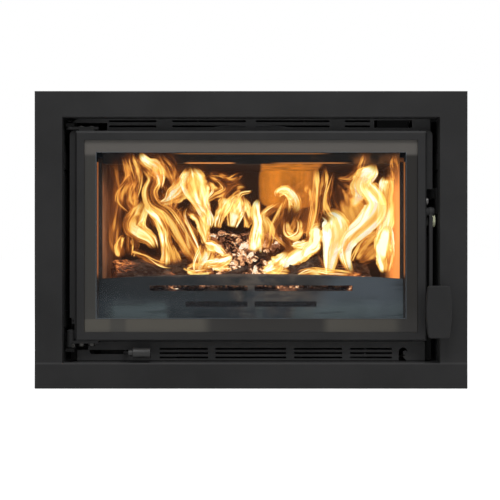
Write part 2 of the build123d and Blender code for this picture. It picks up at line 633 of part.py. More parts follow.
def make_casing():
    """The convection casing as separate sheets, the feet it stands on and the screws in its top."""
    outer, inner = CASING_HALF_W, CASING_INNER
    side_z = (OPEN_LOW_Z, OPEN_TOP_Z)
    depth = (0, CASING_BACK_Y)
    side_y = (0, CASING_BACK_Y - CASING_SHEET)
    for side, name in ((-1, "casing_left"), (1, "casing_right")):
        with BuildPart() as panel:
            block(side_span(side, inner, outer), side_y, side_z)
            flange = (side_z[1] - CASING_SHEET, side_z[1])
            block(side_span(side, inner - CASING_FLANGE, inner), (CASING_FLANGE_FRONT, side_y[1]), flange)
            for y in CASING_SCREW_Y:
                rod_z(SCREW_R + SCREW_GAP, side * CASING_SCREW_X, y, flange, mode=Mode.SUBTRACT)
        save(panel.part, name)
    with BuildPart() as back:
        block((-outer, outer), (CASING_BACK_Y - CASING_SHEET, CASING_BACK_Y), side_z)
    save(back.part, "casing_back")
    top_z = (OPEN_TOP_Z, CASING_TOP_Z)
    with BuildPart() as top:
        block((-outer, outer), depth, top_z)
        rod_z(FLUE_R + FLUE_WALL + FLUE_HOLE_GAP, 0, FLUE_Y, top_z, mode=Mode.SUBTRACT)
        for x, y in casing_screw_places():
            rod_z(SCREW_R + SCREW_GAP, x, y, top_z, mode=Mode.SUBTRACT)
    save(top.part, "casing_top")
    base_z = (CASING_LOW_Z, OPEN_LOW_Z)
    with BuildPart() as base:
        block((-outer, outer), depth, base_z)
        for x, y in foot_places():
            rod_z(FOOT_STEM_R + SCREW_GAP, x, y, base_z, mode=Mode.SUBTRACT)
        for x in (-FIXING_HALF_X, FIXING_HALF_X):
            for y in FIXING_Y:
                rod_z(FIXING_R, x, y, base_z, mode=Mode.SUBTRACT)
        for x in BOTTOM_SCREW_X:
            rod_z(SCREW_R + SCREW_GAP, x, GRILLE_SCREW_Y, base_z, mode=Mode.SUBTRACT)
    save(base.part, "casing_base")
    with BuildPart() as feet:
        for x, y in foot_places():
            rod_z(FOOT_R, x, y, (0, FOOT_PAD_H))
            rod_z(FOOT_STEM_R, x, y, (FOOT_PAD_H, OPEN_LOW_Z + FOOT_NUT_H))
            for nut_z in (CASING_LOW_Z - FOOT_NUT_H, OPEN_LOW_Z):
                with BuildSketch(Plane.XY.offset(nut_z)):
                    with Locations((x, y)):
                        RegularPolygon(FOOT_NUT_R, 6)
                extrude(amount=FOOT_NUT_H)
    save(feet.part, "levelling_feet")
    with BuildPart() as screws:
        for x, y in casing_screw_places():
            rod_z(SCREW_R, x, y, (CASING_TOP_Z - SCREW_LENGTH, CASING_TOP_Z))
            rod_z(SCREW_HEAD_R, x, y, (CASING_TOP_Z, CASING_TOP_Z + SCREW_HEAD_H))
        for x in BOTTOM_SCREW_X:
            rod_z(SCREW_R, x, GRILLE_SCREW_Y, (CASING_LOW_Z - SCREW_HEAD_H, CASING_LOW_Z + SCREW_LENGTH))
            rod_z(SCREW_HEAD_R, x, GRILLE_SCREW_Y, (CASING_LOW_Z - SCREW_HEAD_H, CASING_LOW_Z))
    save(screws.part, "casing_screws")


def foot_places():
    """The four feet's places under the casing."""
    half = CASING_HALF_W - FOOT_SIDE
    return [(side * half, y) for side in (-1, 1) for y in FOOT_Y]


def casing_screw_places():
    """Screws through the casing's top into the side flanges and the top grille's flange."""
    sides = [(side * CASING_SCREW_X, y) for side in (-1, 1) for y in CASING_SCREW_Y]
    return sides + [(x, GRILLE_SCREW_Y) for x in TOP_SCREW_X]


# ================================ firebox ================================

def make_firebox():
    """The welded firebox as separate plates, the channels under it, and the flue collar on top."""
    half, inner = FIREBOX_W / 2, BOX_INNER_HALF
    plan = (BOX_FRONT_Y, FIREBOX_BACK_Y)
    wall_z = (BASE_TOP_Z, FIREBOX_TOP_Z - PLATE)
    make_firebox_front()
    for side, name in ((-1, "firebox_left"), (1, "firebox_right")):
        with BuildPart() as wall:
            block(side_span(side, inner, half), (BOX_FRONT_Y, FIREBOX_BACK_Y - PLATE), wall_z)
        save(wall.part, name)
    with BuildPart() as back:
        block((-half, half), (FIREBOX_BACK_Y - PLATE, FIREBOX_BACK_Y), wall_z)
    save(back.part, "firebox_back")
    with BuildPart() as base:
        block((-half, half), plan, (FIREBOX_BASE_Z, BASE_TOP_Z))
        for x in PORT_X:
            rod_z(BASE_PORT_R, x, BASE_PORT_Y, (FIREBOX_BASE_Z, BASE_TOP_Z), mode=Mode.SUBTRACT)
    save(base.part, "firebox_base")
    roof_z = (FIREBOX_TOP_Z - PLATE, FIREBOX_TOP_Z)
    with BuildPart() as roof:
        block((-half, half), plan, roof_z)
        rod_z(FLUE_R - FLUE_SHELF, 0, FLUE_Y, roof_z, mode=Mode.SUBTRACT)
    save(roof.part, "firebox_top")
    low, high = SUPPORT_X - SUPPORT_W / 2, SUPPORT_X + SUPPORT_W / 2
    channel_z = (OPEN_LOW_Z, FIREBOX_BASE_Z)
    hollow_z = (channel_z[0] + SUPPORT_SHEET, channel_z[1] - SUPPORT_SHEET)
    with BuildPart() as channels:
        for side in (-1, 1):
            block(side_span(side, low, high), SUPPORT_Y, channel_z)
            block(side_span(side, low, high - SUPPORT_SHEET), SUPPORT_Y, hollow_z, mode=Mode.SUBTRACT)
    save(channels.part, "firebox_supports")
    with BuildPart() as collar:
        rod_z(FLUE_R + FLUE_WALL, 0, FLUE_Y, (FIREBOX_TOP_Z, FLUE_TOP_Z))
        rod_z(FLUE_FLANGE_R, 0, FLUE_Y, (FIREBOX_TOP_Z, FIREBOX_TOP_Z + PLATE))
        rod_z(FLUE_R, 0, FLUE_Y, (FIREBOX_TOP_Z, FLUE_TOP_Z), mode=Mode.SUBTRACT)
    save(collar.part, "flue_collar")
    with BuildPart() as bolts:
        top = FIREBOX_TOP_Z + PLATE
        with BuildSketch(Plane.XY.offset(top)):
            with Locations((0, FLUE_Y)):
                with PolarLocations(FLUE_BOLT_RING, FLUE_BOLTS):
                    RegularPolygon(FLUE_BOLT_HEAD_R, 6)
        extrude(amount=FLUE_BOLT_HEAD_H)
    save(bolts.part, "flue_bolts")


def make_firebox_front():
    """The front plate with its mouth, and the cheeks beside it that leave room for the latch."""
    half = FRONT_PLATE_HALF_W
    near = half - CHEEK_W
    depth = (FRONT_PLATE_Y, BOX_FRONT_Y)
    with BuildPart() as front:
        block((-near, near), depth, (FRONT_PLATE_LOW_Z, FRONT_PLATE_TOP_Z))
        block((-MOUTH_HALF_W, MOUTH_HALF_W), depth, (MOUTH_LOW_Z, MOUTH_TOP_Z), mode=Mode.SUBTRACT)
    save(front.part, "firebox_front")
    with BuildPart() as cheeks:
        block((-half, -near), depth, (CHEEK_LOW_Z, CHEEK_TOP_Z))
        block((near, half), depth, (CHEEK_LOW_Z, LATCH_SPACE_Z[0]))
        block((near, half), depth, (LATCH_SPACE_Z[1], CHEEK_TOP_Z))
    save(cheeks.part, "front_cheeks")


# ================================ lining and log guard ================================

def make_lining():
    """Side, back and hearth bricks, the throat's two loose plates and the airwash deflector."""
    face, outer = BRICK_FACE_X, BRICK_FACE_X + BRICK
    back_y = FIREBOX_BACK_Y - PLATE - BRICK_GAP
    brick_z = (BASE_TOP_Z, BRICK_TOP_Z)
    between = face - BRICK_GAP
    with BuildPart() as bricks:
        for side in (-1, 1):
            block(side_span(side, face, outer), (BRICK_FRONT_Y, back_y), brick_z)
    save(bricks.part, "side_bricks")
    with BuildPart() as brick:
        block((-between, between), (BACK_BRICK_Y, back_y), brick_z)
    save(brick.part, "back_brick")
    with BuildPart() as bricks:
        for side in (-1, 1):
            span = side_span(side, BRICK_GAP / 2, between)
            block(span, (BRICK_FRONT_Y, BACK_BRICK_Y - BRICK_GAP), (BASE_TOP_Z, HEARTH_Z))
            block(span, (BRICK_FRONT_Y, BRICK_FRONT_Y + HEARTH_LIP_W), (HEARTH_Z, HEARTH_Z + HEARTH_LIP_H))
    save(bricks.part, "hearth_bricks")
    with BuildPart() as plates:
        for side in (-1, 1):
            span = side_span(side, BRICK_GAP / 2, face + THROAT_OVERLAP)
            block(span, (THROAT_FRONT_Y, back_y), (BRICK_TOP_Z, BRICK_TOP_Z + THROAT_T))
    save(plates.part, "throat_plates")
    y, reach, t = BOX_FRONT_Y, AIRWASH_REACH, AIRWASH_T
    low, top = MOUTH_TOP_Z - AIRWASH_HANG, MOUTH_TOP_Z + AIRWASH_RISE
    half = face - AIRWASH_GAP
    with BuildPart() as deflector:
        with BuildSketch(Plane.YZ.offset(-half)):
            with BuildLine():
                Polyline(
                    (y, top), (y, MOUTH_TOP_Z), (y + reach, low),
                    (y + reach + t, low), (y + t, MOUTH_TOP_Z + t), (y + t, top), close=True,
                )
            make_face()
        extrude(amount=2 * half)
    save(deflector.part, "airwash_deflector")


def make_log_guard():
    """The cast fence before the bricks: an arched top edge, two rows of air slots and a foot to stand on."""
    half, middle = GUARD_HALF_W, GUARD_WEB / 2
    side_z, crown_z = HEARTH_Z + GUARD_SIDE_H, HEARTH_Z + GUARD_CROWN_H
    rows = ((HEARTH_Z + GUARD_UPPER_H, GUARD_UPPER_SHARE), (HEARTH_Z + GUARD_LOWER_H, GUARD_LOWER_SHARE))
    front_y = BRICK_FRONT_Y - GUARD_GAP - GUARD_T
    with BuildPart() as guard:
        with BuildSketch(Plane.XZ.offset(-front_y)):
            with BuildLine():
                Polyline((-half, side_z), (-half, BASE_TOP_Z), (half, BASE_TOP_Z), (half, side_z))
                ThreePointArc((half, side_z), (0, crown_z), (-half, side_z))
            make_face()
            for height, share in rows:
                reach = share * half
                for side in (-1, 1):
                    with Locations((side * mid((middle, reach)), height)):
                        RectangleRounded(reach - middle, GUARD_SLOT_H, GUARD_SLOT_R, mode=Mode.SUBTRACT)
        extrude(amount=-GUARD_T)
        block((-half, half), (front_y - GUARD_FOOT_D, front_y), (BASE_TOP_Z, BASE_TOP_Z + GUARD_FOOT_T))
    save(guard.part, "log_guard")


# ================================ door ================================

def door_ring(near, far):
    """A ring between two insets from the door's outline, in an XZ sketch."""
    with Locations((0, mid((DOOR_LOW_Z, DOOR_TOP_Z)))):
        Rectangle(DOOR_W - 2 * near, DOOR_TOP_Z - DOOR_LOW_Z - 2 * near)
        Rectangle(DOOR_W - 2 * far, DOOR_TOP_Z - DOOR_LOW_Z - 2 * far, mode=Mode.SUBTRACT)


def boss_places():
    """The retaining screws' places: (x, z, along X) round the door, just inside its wall."""
    inset = DOOR_WALL + BOSS_W / 2
    height = DOOR_TOP_Z - DOOR_LOW_Z
    rows = [(x * DOOR_W, z, True) for x in BOSS_X_SHARES for z in (DOOR_LOW_Z + inset, DOOR_TOP_Z - inset)]
    side = DOOR_HALF_W - inset
    return rows + [(x, DOOR_LOW_Z + z * height, False) for x in (-side, side) for z in BOSS_Z_SHARES]


def make_door_frame():
    """The folded door frame: a front flange, a wall all round and bosses for the retaining screws."""
    low, top = DOOR_LOW_Z, DOOR_TOP_Z
    window_z = (low + DOOR_RAIL_BOTTOM, top - DOOR_RAIL_TOP)
    window_half = DOOR_HALF_W - DOOR_RAIL_SIDE
    cavity_half = DOOR_HALF_W - DOOR_WALL
    with BuildPart() as frame:
        block((-DOOR_HALF_W, DOOR_HALF_W), (DOOR_FRONT_Y, DOOR_BACK_Y), (low, top))
        chamfer(frame.faces().sort_by(Axis.Y)[0].edges(), DOOR_BEVEL)
        cavity_z = (low + DOOR_WALL, top - DOOR_WALL)
        block((-cavity_half, cavity_half), (DOOR_CAVITY_Y, DOOR_BACK_Y), cavity_z, mode=Mode.SUBTRACT)
        block((-window_half, window_half), (DOOR_FRONT_Y, DOOR_CAVITY_Y), window_z, mode=Mode.SUBTRACT)
        for x, z, along_x in boss_places():
            size_x, size_z = (BOSS_L, BOSS_W) if along_x else (BOSS_W, BOSS_L)
            depth = (DOOR_CAVITY_Y, RETAINER_Y)
            block((x - size_x / 2, x + size_x / 2), depth, (z - size_z / 2, z + size_z / 2))
            hole = (RETAINER_Y - BOSS_SCREW_DEPTH - SCREW_GAP, RETAINER_Y)
            rod_y(SCREW_R + SCREW_GAP, x, hole, z, mode=Mode.SUBTRACT)
        shank = (cavity_half, DOOR_HALF_W)
        rod_x(PIVOT_SHANK_R + SCREW_GAP, shank, PIVOT_Y, PIVOT_Z, mode=Mode.SUBTRACT)
        rod_x(SCREW_R + SCREW_GAP, shank, PIVOT_Y, STOP_Z, mode=Mode.SUBTRACT)
        for x in HINGE_BOLT_X:
            for wall in ((low, low + DOOR_WALL), (top - DOOR_WALL, top)):
                rod_z(HINGE_BOLT_R + SCREW_GAP, x, HINGE_Y, wall, mode=Mode.SUBTRACT)
    save(frame.part, "door_frame")


def make_door_inside():
    """The glass, its gasket, the retaining ring with the rope channel, its screws and the rope."""
    glass_half = DOOR_HALF_W - GLASS_INSET
    glass_z = (DOOR_LOW_Z + GLASS_INSET, DOOR_TOP_Z - GLASS_INSET)
    with BuildPart() as glass:
        block((-glass_half, glass_half), (GLASS_Y, RETAINER_Y), glass_z)
    save(glass.part, "door_glass")
    near = GLASS_INSET + GASKET_INSET
    with BuildPart() as gasket:
        with BuildSketch(Plane.XZ.offset(-DOOR_CAVITY_Y)):
            door_ring(near, near + GASKET_W)
        extrude(amount=-GASKET_T)
    save(gasket.part, "glass_gasket")
    near = DOOR_WALL + RETAINER_GAP
    with BuildPart() as retainer:
        with BuildSketch(Plane.XZ.offset(-RETAINER_Y)):
            door_ring(near, near + RETAINER_W)
        extrude(amount=-RETAINER_T)
        for inset in (ROPE_INSET - ROPE_WALL, ROPE_INSET + ROPE_W):
            with BuildSketch(Plane.XZ.offset(-ROPE_Y)):
                door_ring(inset, inset + ROPE_WALL)
            extrude(amount=-ROPE_WALL_H)
        for x, z, _ in boss_places():
            rod_y(SCREW_R + SCREW_GAP, x, (RETAINER_Y, ROPE_Y), z, mode=Mode.SUBTRACT)
    save(retainer.part, "glass_retainer")
    with BuildPart() as screws:
        for x, z, _ in boss_places():
            rod_y(SCREW_R, x, (RETAINER_Y - BOSS_SCREW_DEPTH, ROPE_Y), z)
            rod_y(BOSS_HEAD_R, x, (ROPE_Y, ROPE_Y + SCREW_HEAD_H), z)
    save(screws.part, "retainer_screws")
    with BuildPart() as rope:
        with BuildSketch(Plane.XZ.offset(-ROPE_Y)):
            door_ring(ROPE_INSET + ROPE_SIDE_GAP, ROPE_INSET + ROPE_W - ROPE_SIDE_GAP)
        extrude(amount=-(FRONT_PLATE_Y - ROPE_FACE_GAP - ROPE_Y))
        fillet(rope.faces().sort_by(Axis.Y)[-1].edges(), ROPE_EDGE_R)
    save(rope.part, "door_rope_seal")


# ================================ hinge ================================

def make_hinge():
    """Door plates above and below with their bolts, and the casing's brackets with their pins."""
    plate_y = (DOOR_FRONT_Y + HINGE_PLATE_FRONT, DOOR_FRONT_Y + HINGE_PLATE_FRONT + HINGE_PLATE_DEPTH)
    upper_z = (UPPER_PLATE_Z, UPPER_PLATE_Z + HINGE_PLATE_T)
    lower_z = (LOWER_PLATE_Z, DOOR_LOW_Z)
    with BuildPart() as upper:
        block((HINGE_X, HINGE_PLATE_END_X), plate_y, upper_z)
        rod_z(HINGE_EYE_R, HINGE_X, HINGE_Y, upper_z)
        block(HINGE_SPACER_X, plate_y, (DOOR_TOP_Z, UPPER_PLATE_Z))
        rod_z(PIN_R + RUN_GAP, HINGE_X, HINGE_Y, upper_z, mode=Mode.SUBTRACT)
        for x in HINGE_BOLT_X:
            rod_z(HINGE_BOLT_R + SCREW_GAP, x, HINGE_Y, (DOOR_TOP_Z, upper_z[1]), mode=Mode.SUBTRACT)
    save(upper.part, "hinge_plate_upper")
    with BuildPart() as lower:
        rod_z(BARREL_R, HINGE_X, HINGE_Y, (BARREL_LOW_Z, BARREL_TOP_Z))
        chamfer(lower.edges().filter_by(GeomType.CIRCLE), BARREL_EDGE)
        block((HINGE_X, HINGE_PLATE_END_X), plate_y, lower_z)
        lug_y = (DOOR_FRONT_Y + LUG_FRONT, DOOR_FRONT_Y + LUG_FRONT + LUG_DEPTH)
        block(LUG_X, lug_y, (LUG_LOW_Z, lower_z[0]))
        bore = (BARREL_LOW_Z, BARREL_TOP_Z - BARREL_CAP)
        rod_z(PIN_R + RUN_GAP, HINGE_X, HINGE_Y, bore, mode=Mode.SUBTRACT)
        for x in HINGE_BOLT_X:
            rod_z(HINGE_BOLT_R + SCREW_GAP, x, HINGE_Y, lower_z, mode=Mode.SUBTRACT)
    save(lower.part, "hinge_plate_lower")
    with BuildPart() as bolts:
        for x in HINGE_BOLT_X:
            head_z = (lower_z[0] - HINGE_BOLT_HEAD_H, lower_z[0])
            rod_z(HINGE_BOLT_HEAD_R, x, HINGE_Y, head_z)
            rod_z(HINGE_BOLT_R, x, HINGE_Y, (head_z[0], DOOR_LOW_Z + DOOR_WALL))
            rod_z(HINGE_BOLT_HEAD_R, x, HINGE_Y, (upper_z[1], upper_z[1] + SCREW_HEAD_H))
            rod_z(HINGE_BOLT_R, x, HINGE_Y, (DOOR_TOP_Z - DOOR_WALL, upper_z[1] + SCREW_HEAD_H))
        lock_y = (lug_y[0] - SCREW_HEAD_H, lug_y[0])
        rod_y(SCREW_HEAD_R, mid(LUG_X), lock_y, mid((LUG_LOW_Z, lower_z[0])))
    save(bolts.part, "hinge_bolts")
    upper_low = upper_z[1] + HINGE_GAP
    lower_top = BARREL_LOW_Z - HINGE_GAP
    with BuildPart() as brackets:
        for bracket_z in ((upper_low, upper_low + BRACKET_T), (lower_top - BRACKET_T, lower_top)):
            block(BRACKET_X, (BRACKET_FRONT_Y, FRONT_PLATE_Y), bracket_z)
            rod_z(PIN_R + PIN_GRIP, HINGE_X, HINGE_Y, bracket_z, mode=Mode.SUBTRACT)
    save(brackets.part, "hinge_brackets")
    with BuildPart() as pins:
        rod_z(PIN_R, HINGE_X, HINGE_Y, (upper_z[0], upper_low + BRACKET_T))
        rod_z(PIN_R, HINGE_X, HINGE_Y, (lower_top - BRACKET_T, BARREL_TOP_Z - BARREL_CAP - HINGE_GAP))
    save(pins.part, "hinge_pins")


def make_jamb_strips():
    """The folded strips that fill the gap beside the door, welded to the front plate."""
    near, far = DOOR_HALF_W + STRIP_GAP, DOOR_HALF_W + STRIP_GAP + STRIP_W
    face_y = (STRIP_FRONT_Y, STRIP_FRONT_Y + STRIP_SHEET)
    strips = ((-1, "jamb_strip_left", STRIP_LEFT_LOW_Z), (1, "jamb_strip_right", STRIP_RIGHT_LOW_Z))
    for side, name, low in strips:
        with BuildPart() as strip:
            block(side_span(side, near, far), face_y, (low, STRIP_TOP_Z))
            corners = strip.edges().filter_by(Axis.Y).group_by(Axis.Z)[-1].sort_by(Axis.X)
            fillet(corners[0 if side < 0 else -1], STRIP_CORNER_R)
            web = side_span(side, far - STRIP_SHEET, far)
            block(web, (face_y[0], FRONT_PLATE_Y), (low, STRIP_TOP_Z - STRIP_CORNER_R))
            if side < 0:
                tab_x = side_span(side, near, near + STRIP_TAB_W)
                block(tab_x, face_y, (low - STRIP_TAB_H, low))
                block(side_span(side, near, near + STRIP_TAIL_W), face_y, (STRIP_TAIL_LOW_Z, low))
                hole_z = low - STRIP_TAB_H / 2
                rod_y(STRIP_TAB_HOLE_R, tab_x[0] + STRIP_TAB_HOLE_INSET, face_y, hole_z, mode=Mode.SUBTRACT)
        save(strip.part, name)


# ================================ latch and handle ================================

def make_latch():
    """The pivot stud on the door, the lever with its roller and paddle, and the catch."""
    lever_x = (LEVER_X, LEVER_OUT_X)
    with BuildPart() as stud:
        rod_x(PIVOT_COLLAR_R, (DOOR_HALF_W, LEVER_X - SIDE_GAP), PIVOT_Y, PIVOT_Z)
        rod_x(PIVOT_SHANK_R, (DOOR_HALF_W - DOOR_WALL, DOOR_HALF_W), PIVOT_Y, PIVOT_Z)
        rod_x(PIVOT_R, (LEVER_X - SIDE_GAP, LEVER_OUT_X + SIDE_GAP), PIVOT_Y, PIVOT_Z)
        head = (LEVER_OUT_X + SIDE_GAP, LEVER_OUT_X + SIDE_GAP + PIVOT_HEAD)
        rod_x(PIVOT_COLLAR_R, head, PIVOT_Y, PIVOT_Z)
    save(stud.part, "lever_pivot_stud")
    with BuildPart() as stop:
        rod_x(STOP_R, (DOOR_HALF_W, DOOR_HALF_W + STOP_HEAD), PIVOT_Y, STOP_Z)
        rod_x(SCREW_R, (DOOR_HALF_W - DOOR_WALL, DOOR_HALF_W), PIVOT_Y, STOP_Z)
    save(stop.part, "lever_stop_screw")
    front, back = PIVOT_Y - LEVER_W / 2, PIVOT_Y + LEVER_W / 2
    foot_y = PADDLE_BACK_Y + FOOT_PLATE_T
    with BuildPart() as lever:
        with BuildSketch(Plane.YZ.offset(LEVER_X)):
            with BuildLine():
                Polyline(
                    (front, PIVOT_Z), (front, LEVER_KNEE_Z), (foot_y, FOOT_PLATE_Z[1]),
                    (foot_y, FOOT_PLATE_Z[0]), (foot_y + LEVER_W, FOOT_PLATE_Z[0]),
                    (back, LEVER_ELBOW_Z), (back, PIVOT_Z), close=True,
                )
            make_face()
            with BuildLine():
                Polyline(
                    (front, ROLLER_Z - LEVER_HUB_R), (ROLLER_Y, ROLLER_Z - LEVER_HUB_R),
                    (ROLLER_Y, ROLLER_Z + LEVER_HUB_R), (PIVOT_Y, PIVOT_Z + LEVER_HUB_R),
                    (front, PIVOT_Z), close=True,
                )
            make_face()
            with Locations((PIVOT_Y, PIVOT_Z), (ROLLER_Y, ROLLER_Z)):
                Circle(LEVER_HUB_R)
            with Locations((PIVOT_Y, PIVOT_Z)):
                Circle(PIVOT_R + RUN_GAP, mode=Mode.SUBTRACT)
            with Locations((ROLLER_Y, ROLLER_Z)):
                Circle(ROLLER_PIN_R + PIN_GRIP, mode=Mode.SUBTRACT)
        extrude(amount=LEVER_T)
        block(FOOT_PLATE_X, (PADDLE_BACK_Y, foot_y), FOOT_PLATE_Z)
        for z in PADDLE_SCREW_Z:
            rod_y(SCREW_R + SCREW_GAP, PADDLE_SCREW_X, (PADDLE_BACK_Y, foot_y), z, mode=Mode.SUBTRACT)
    save(lever.part, "lever_arm")
    with BuildPart() as pin:
        washer_x = (LEVER_X - WASHER_T, LEVER_X)
        head_low = ROLLER_X + ROLLER_W + SIDE_GAP
        rod_x(ROLLER_PIN_R, (washer_x[0], head_low), ROLLER_Y, ROLLER_Z)
        rod_x(WASHER_R, washer_x, ROLLER_Y, ROLLER_Z)
        rod_x(ROLLER_PIN_HEAD_R, (head_low, head_low + ROLLER_PIN_HEAD), ROLLER_Y, ROLLER_Z)
    save(pin.part, "roller_pin")
    with BuildPart() as roller:
        rod_x(ROLLER_R, (ROLLER_X, ROLLER_X + ROLLER_W), ROLLER_Y, ROLLER_Z)
        chamfer(roller.edges().filter_by(GeomType.CIRCLE), ROLLER_EDGE)
        rod_x(ROLLER_PIN_R + RUN_GAP, (ROLLER_X, ROLLER_X + ROLLER_W), ROLLER_Y, ROLLER_Z, mode=Mode.SUBTRACT)
    save(roller.part, "latch_roller")
    make_paddle()
    with BuildPart() as keeper:
        with BuildSketch(Plane.YZ.offset(CASING_INNER - KEEPER_T)):
            with BuildLine():
                Polyline(
                    (KEEPER_Y[0], KEEPER_Z[0]), (KEEPER_Y[1], KEEPER_Z[0] + KEEPER_RAMP),
                    (KEEPER_Y[1], KEEPER_Z[1]), (KEEPER_Y[0], KEEPER_Z[1]), close=True,
                )
            make_face()
        extrude(amount=KEEPER_T)
        foot = (FRONT_PLATE_HALF_W, CASING_INNER - KEEPER_T)
        block(foot, (FRONT_PLATE_Y, KEEPER_Y[1]), (KEEPER_Z[1] - KEEPER_FOOT_H, KEEPER_Z[1]))
    save(keeper.part, "catch_keeper")


def make_paddle():
    """The handle's flat paddle, wider at its middle, and the screws that hold it on the lever."""
    middle_z = mid((PADDLE_LOW_Z, PADDLE_TOP_Z))
    left, right = PADDLE_X - PADDLE_W / 2, PADDLE_X + PADDLE_W / 2
    top_half, low_half = PADDLE_TOP_W / 2, PADDLE_LOW_W / 2
    low_left, low_right = (PADDLE_X - low_half, PADDLE_LOW_Z), (PADDLE_X + low_half, PADDLE_LOW_Z)
    top_left, top_right = (PADDLE_X - top_half, PADDLE_TOP_Z), (PADDLE_X + top_half, PADDLE_TOP_Z)
    with BuildPart() as paddle:
        with BuildSketch(Plane.XZ.offset(-PADDLE_BACK_Y)):
            with BuildLine():
                Line(low_left, low_right)
                ThreePointArc(low_right, (right, middle_z), top_right)
                Line(top_right, top_left)
                ThreePointArc(top_left, (left, middle_z), low_left)
            make_face()
        extrude(amount=PADDLE_T)
        fillet(paddle.edges().filter_by(Axis.Y), PADDLE_CORNER_R)
        fillet(paddle.faces().sort_by(Axis.Y)[0].edges(), PADDLE_EDGE_R)
        for z in PADDLE_SCREW_Z:
            hole = (PADDLE_BACK_Y - SCREW_LENGTH, PADDLE_BACK_Y)
            rod_y(SCREW_R + SCREW_GAP, PADDLE_SCREW_X, hole, z, mode=Mode.SUBTRACT)
    save(paddle.part, "handle_paddle")
    head_y = PADDLE_BACK_Y + FOOT_PLATE_T
    with BuildPart() as screws:
        for z in PADDLE_SCREW_Z:
            rod_y(SCREW_R, PADDLE_SCREW_X, (PADDLE_BACK_Y - SCREW_LENGTH + SCREW_GAP, head_y), z)
            rod_y(SCREW_HEAD_R, PADDLE_SCREW_X, (head_y, head_y + SCREW_HEAD_H), z)
    save(screws.part, "paddle_screws")


# ================================ air control ================================

def make_air_control():
    """The air housing under the firebox, its sliding plate, the bent rod and the knob."""
    wall_y = (HOUSING_Y, HOUSING_Y + HOUSING_DEPTH)
    housing_z = (HOUSING_LOW_Z, FIREBOX_BASE_Z)
    t = HOUSING_SHEET
    slide_z = (AIR_Z - SLIDE_H / 2, AIR_Z + SLIDE_H / 2)
    with BuildPart() as housing:
        block(HOUSING_X, wall_y, housing_z)
        hollow_x = (HOUSING_X[0] + t, HOUSING_X[1] - t)
        block(hollow_x, (wall_y[0] + t, wall_y[1] - t), (housing_z[0] + t, housing_z[1]), mode=Mode.SUBTRACT)
        for x in PORT_X:
            rod_y(PORT_R, x, (wall_y[0], wall_y[0] + t), AIR_Z, mode=Mode.SUBTRACT)
        rail_y = (SLIDE_Y, HOUSING_Y)
        block(HOUSING_X, rail_y, (slide_z[1] + SLIDE_GAP, slide_z[1] + SLIDE_GAP + t))
        block(HOUSING_X, rail_y, (slide_z[0] - SLIDE_GAP - t, slide_z[0] - SLIDE_GAP))
    save(housing.part, "air_housing")
    with BuildPart() as plate:
        block(SLIDE_X, (SLIDE_Y, SLIDE_Y + SLIDE_T), slide_z)
    save(plate.part, "air_slide")
    rod_end = KNOB_X + ROD_IN_KNOB
    with BuildPart() as rod:
        with BuildLine():
            bends = (ROD_X, SLIDE_Y, AIR_Z), (ROD_X, KNOB_Y, AIR_Z), (rod_end, KNOB_Y, AIR_Z)
            FilletPolyline(*bends, radius=ROD_BEND_R)
        with BuildSketch(Plane.XZ.offset(-SLIDE_Y)):
            with Locations((ROD_X, AIR_Z)):
                Circle(ROD_R)
        sweep()
    save(rod.part, "air_rod")
    with BuildPart() as knob:
        start, end = KNOB_X, KNOB_X + KNOB_L
        with BuildSketch(Plane.XY.offset(AIR_Z)):
            with BuildLine():
                Line((start - COLLAR_L, KNOB_Y), (start - COLLAR_L, KNOB_Y + COLLAR_R))
                Line((start - COLLAR_L, KNOB_Y + COLLAR_R), (start, KNOB_Y + COLLAR_R))
                Line((start, KNOB_Y + COLLAR_R), (start, KNOB_Y + KNOB_R))
                waist = (mid((start, end)), KNOB_Y + KNOB_WAIST_R)
                ThreePointArc((start, KNOB_Y + KNOB_R), waist, (end, KNOB_Y + KNOB_R))
                Line((end, KNOB_Y + KNOB_R), (end, KNOB_Y))
                Line((end, KNOB_Y), (start - COLLAR_L, KNOB_Y))
            make_face()
        revolve(axis=Axis((0, KNOB_Y, AIR_Z), (1, 0, 0)))
        ends = knob.edges().filter_by(GeomType.CIRCLE).filter_by(lambda edge: edge.radius > KNOB_WAIST_R)
        fillet(ends, KNOB_EDGE_R)
        rod_x(ROD_R + RUN_GAP, (start - COLLAR_L, rod_end), KNOB_Y, AIR_Z, mode=Mode.SUBTRACT)
    save(knob.part, "air_knob")


# ================================ fuel ================================

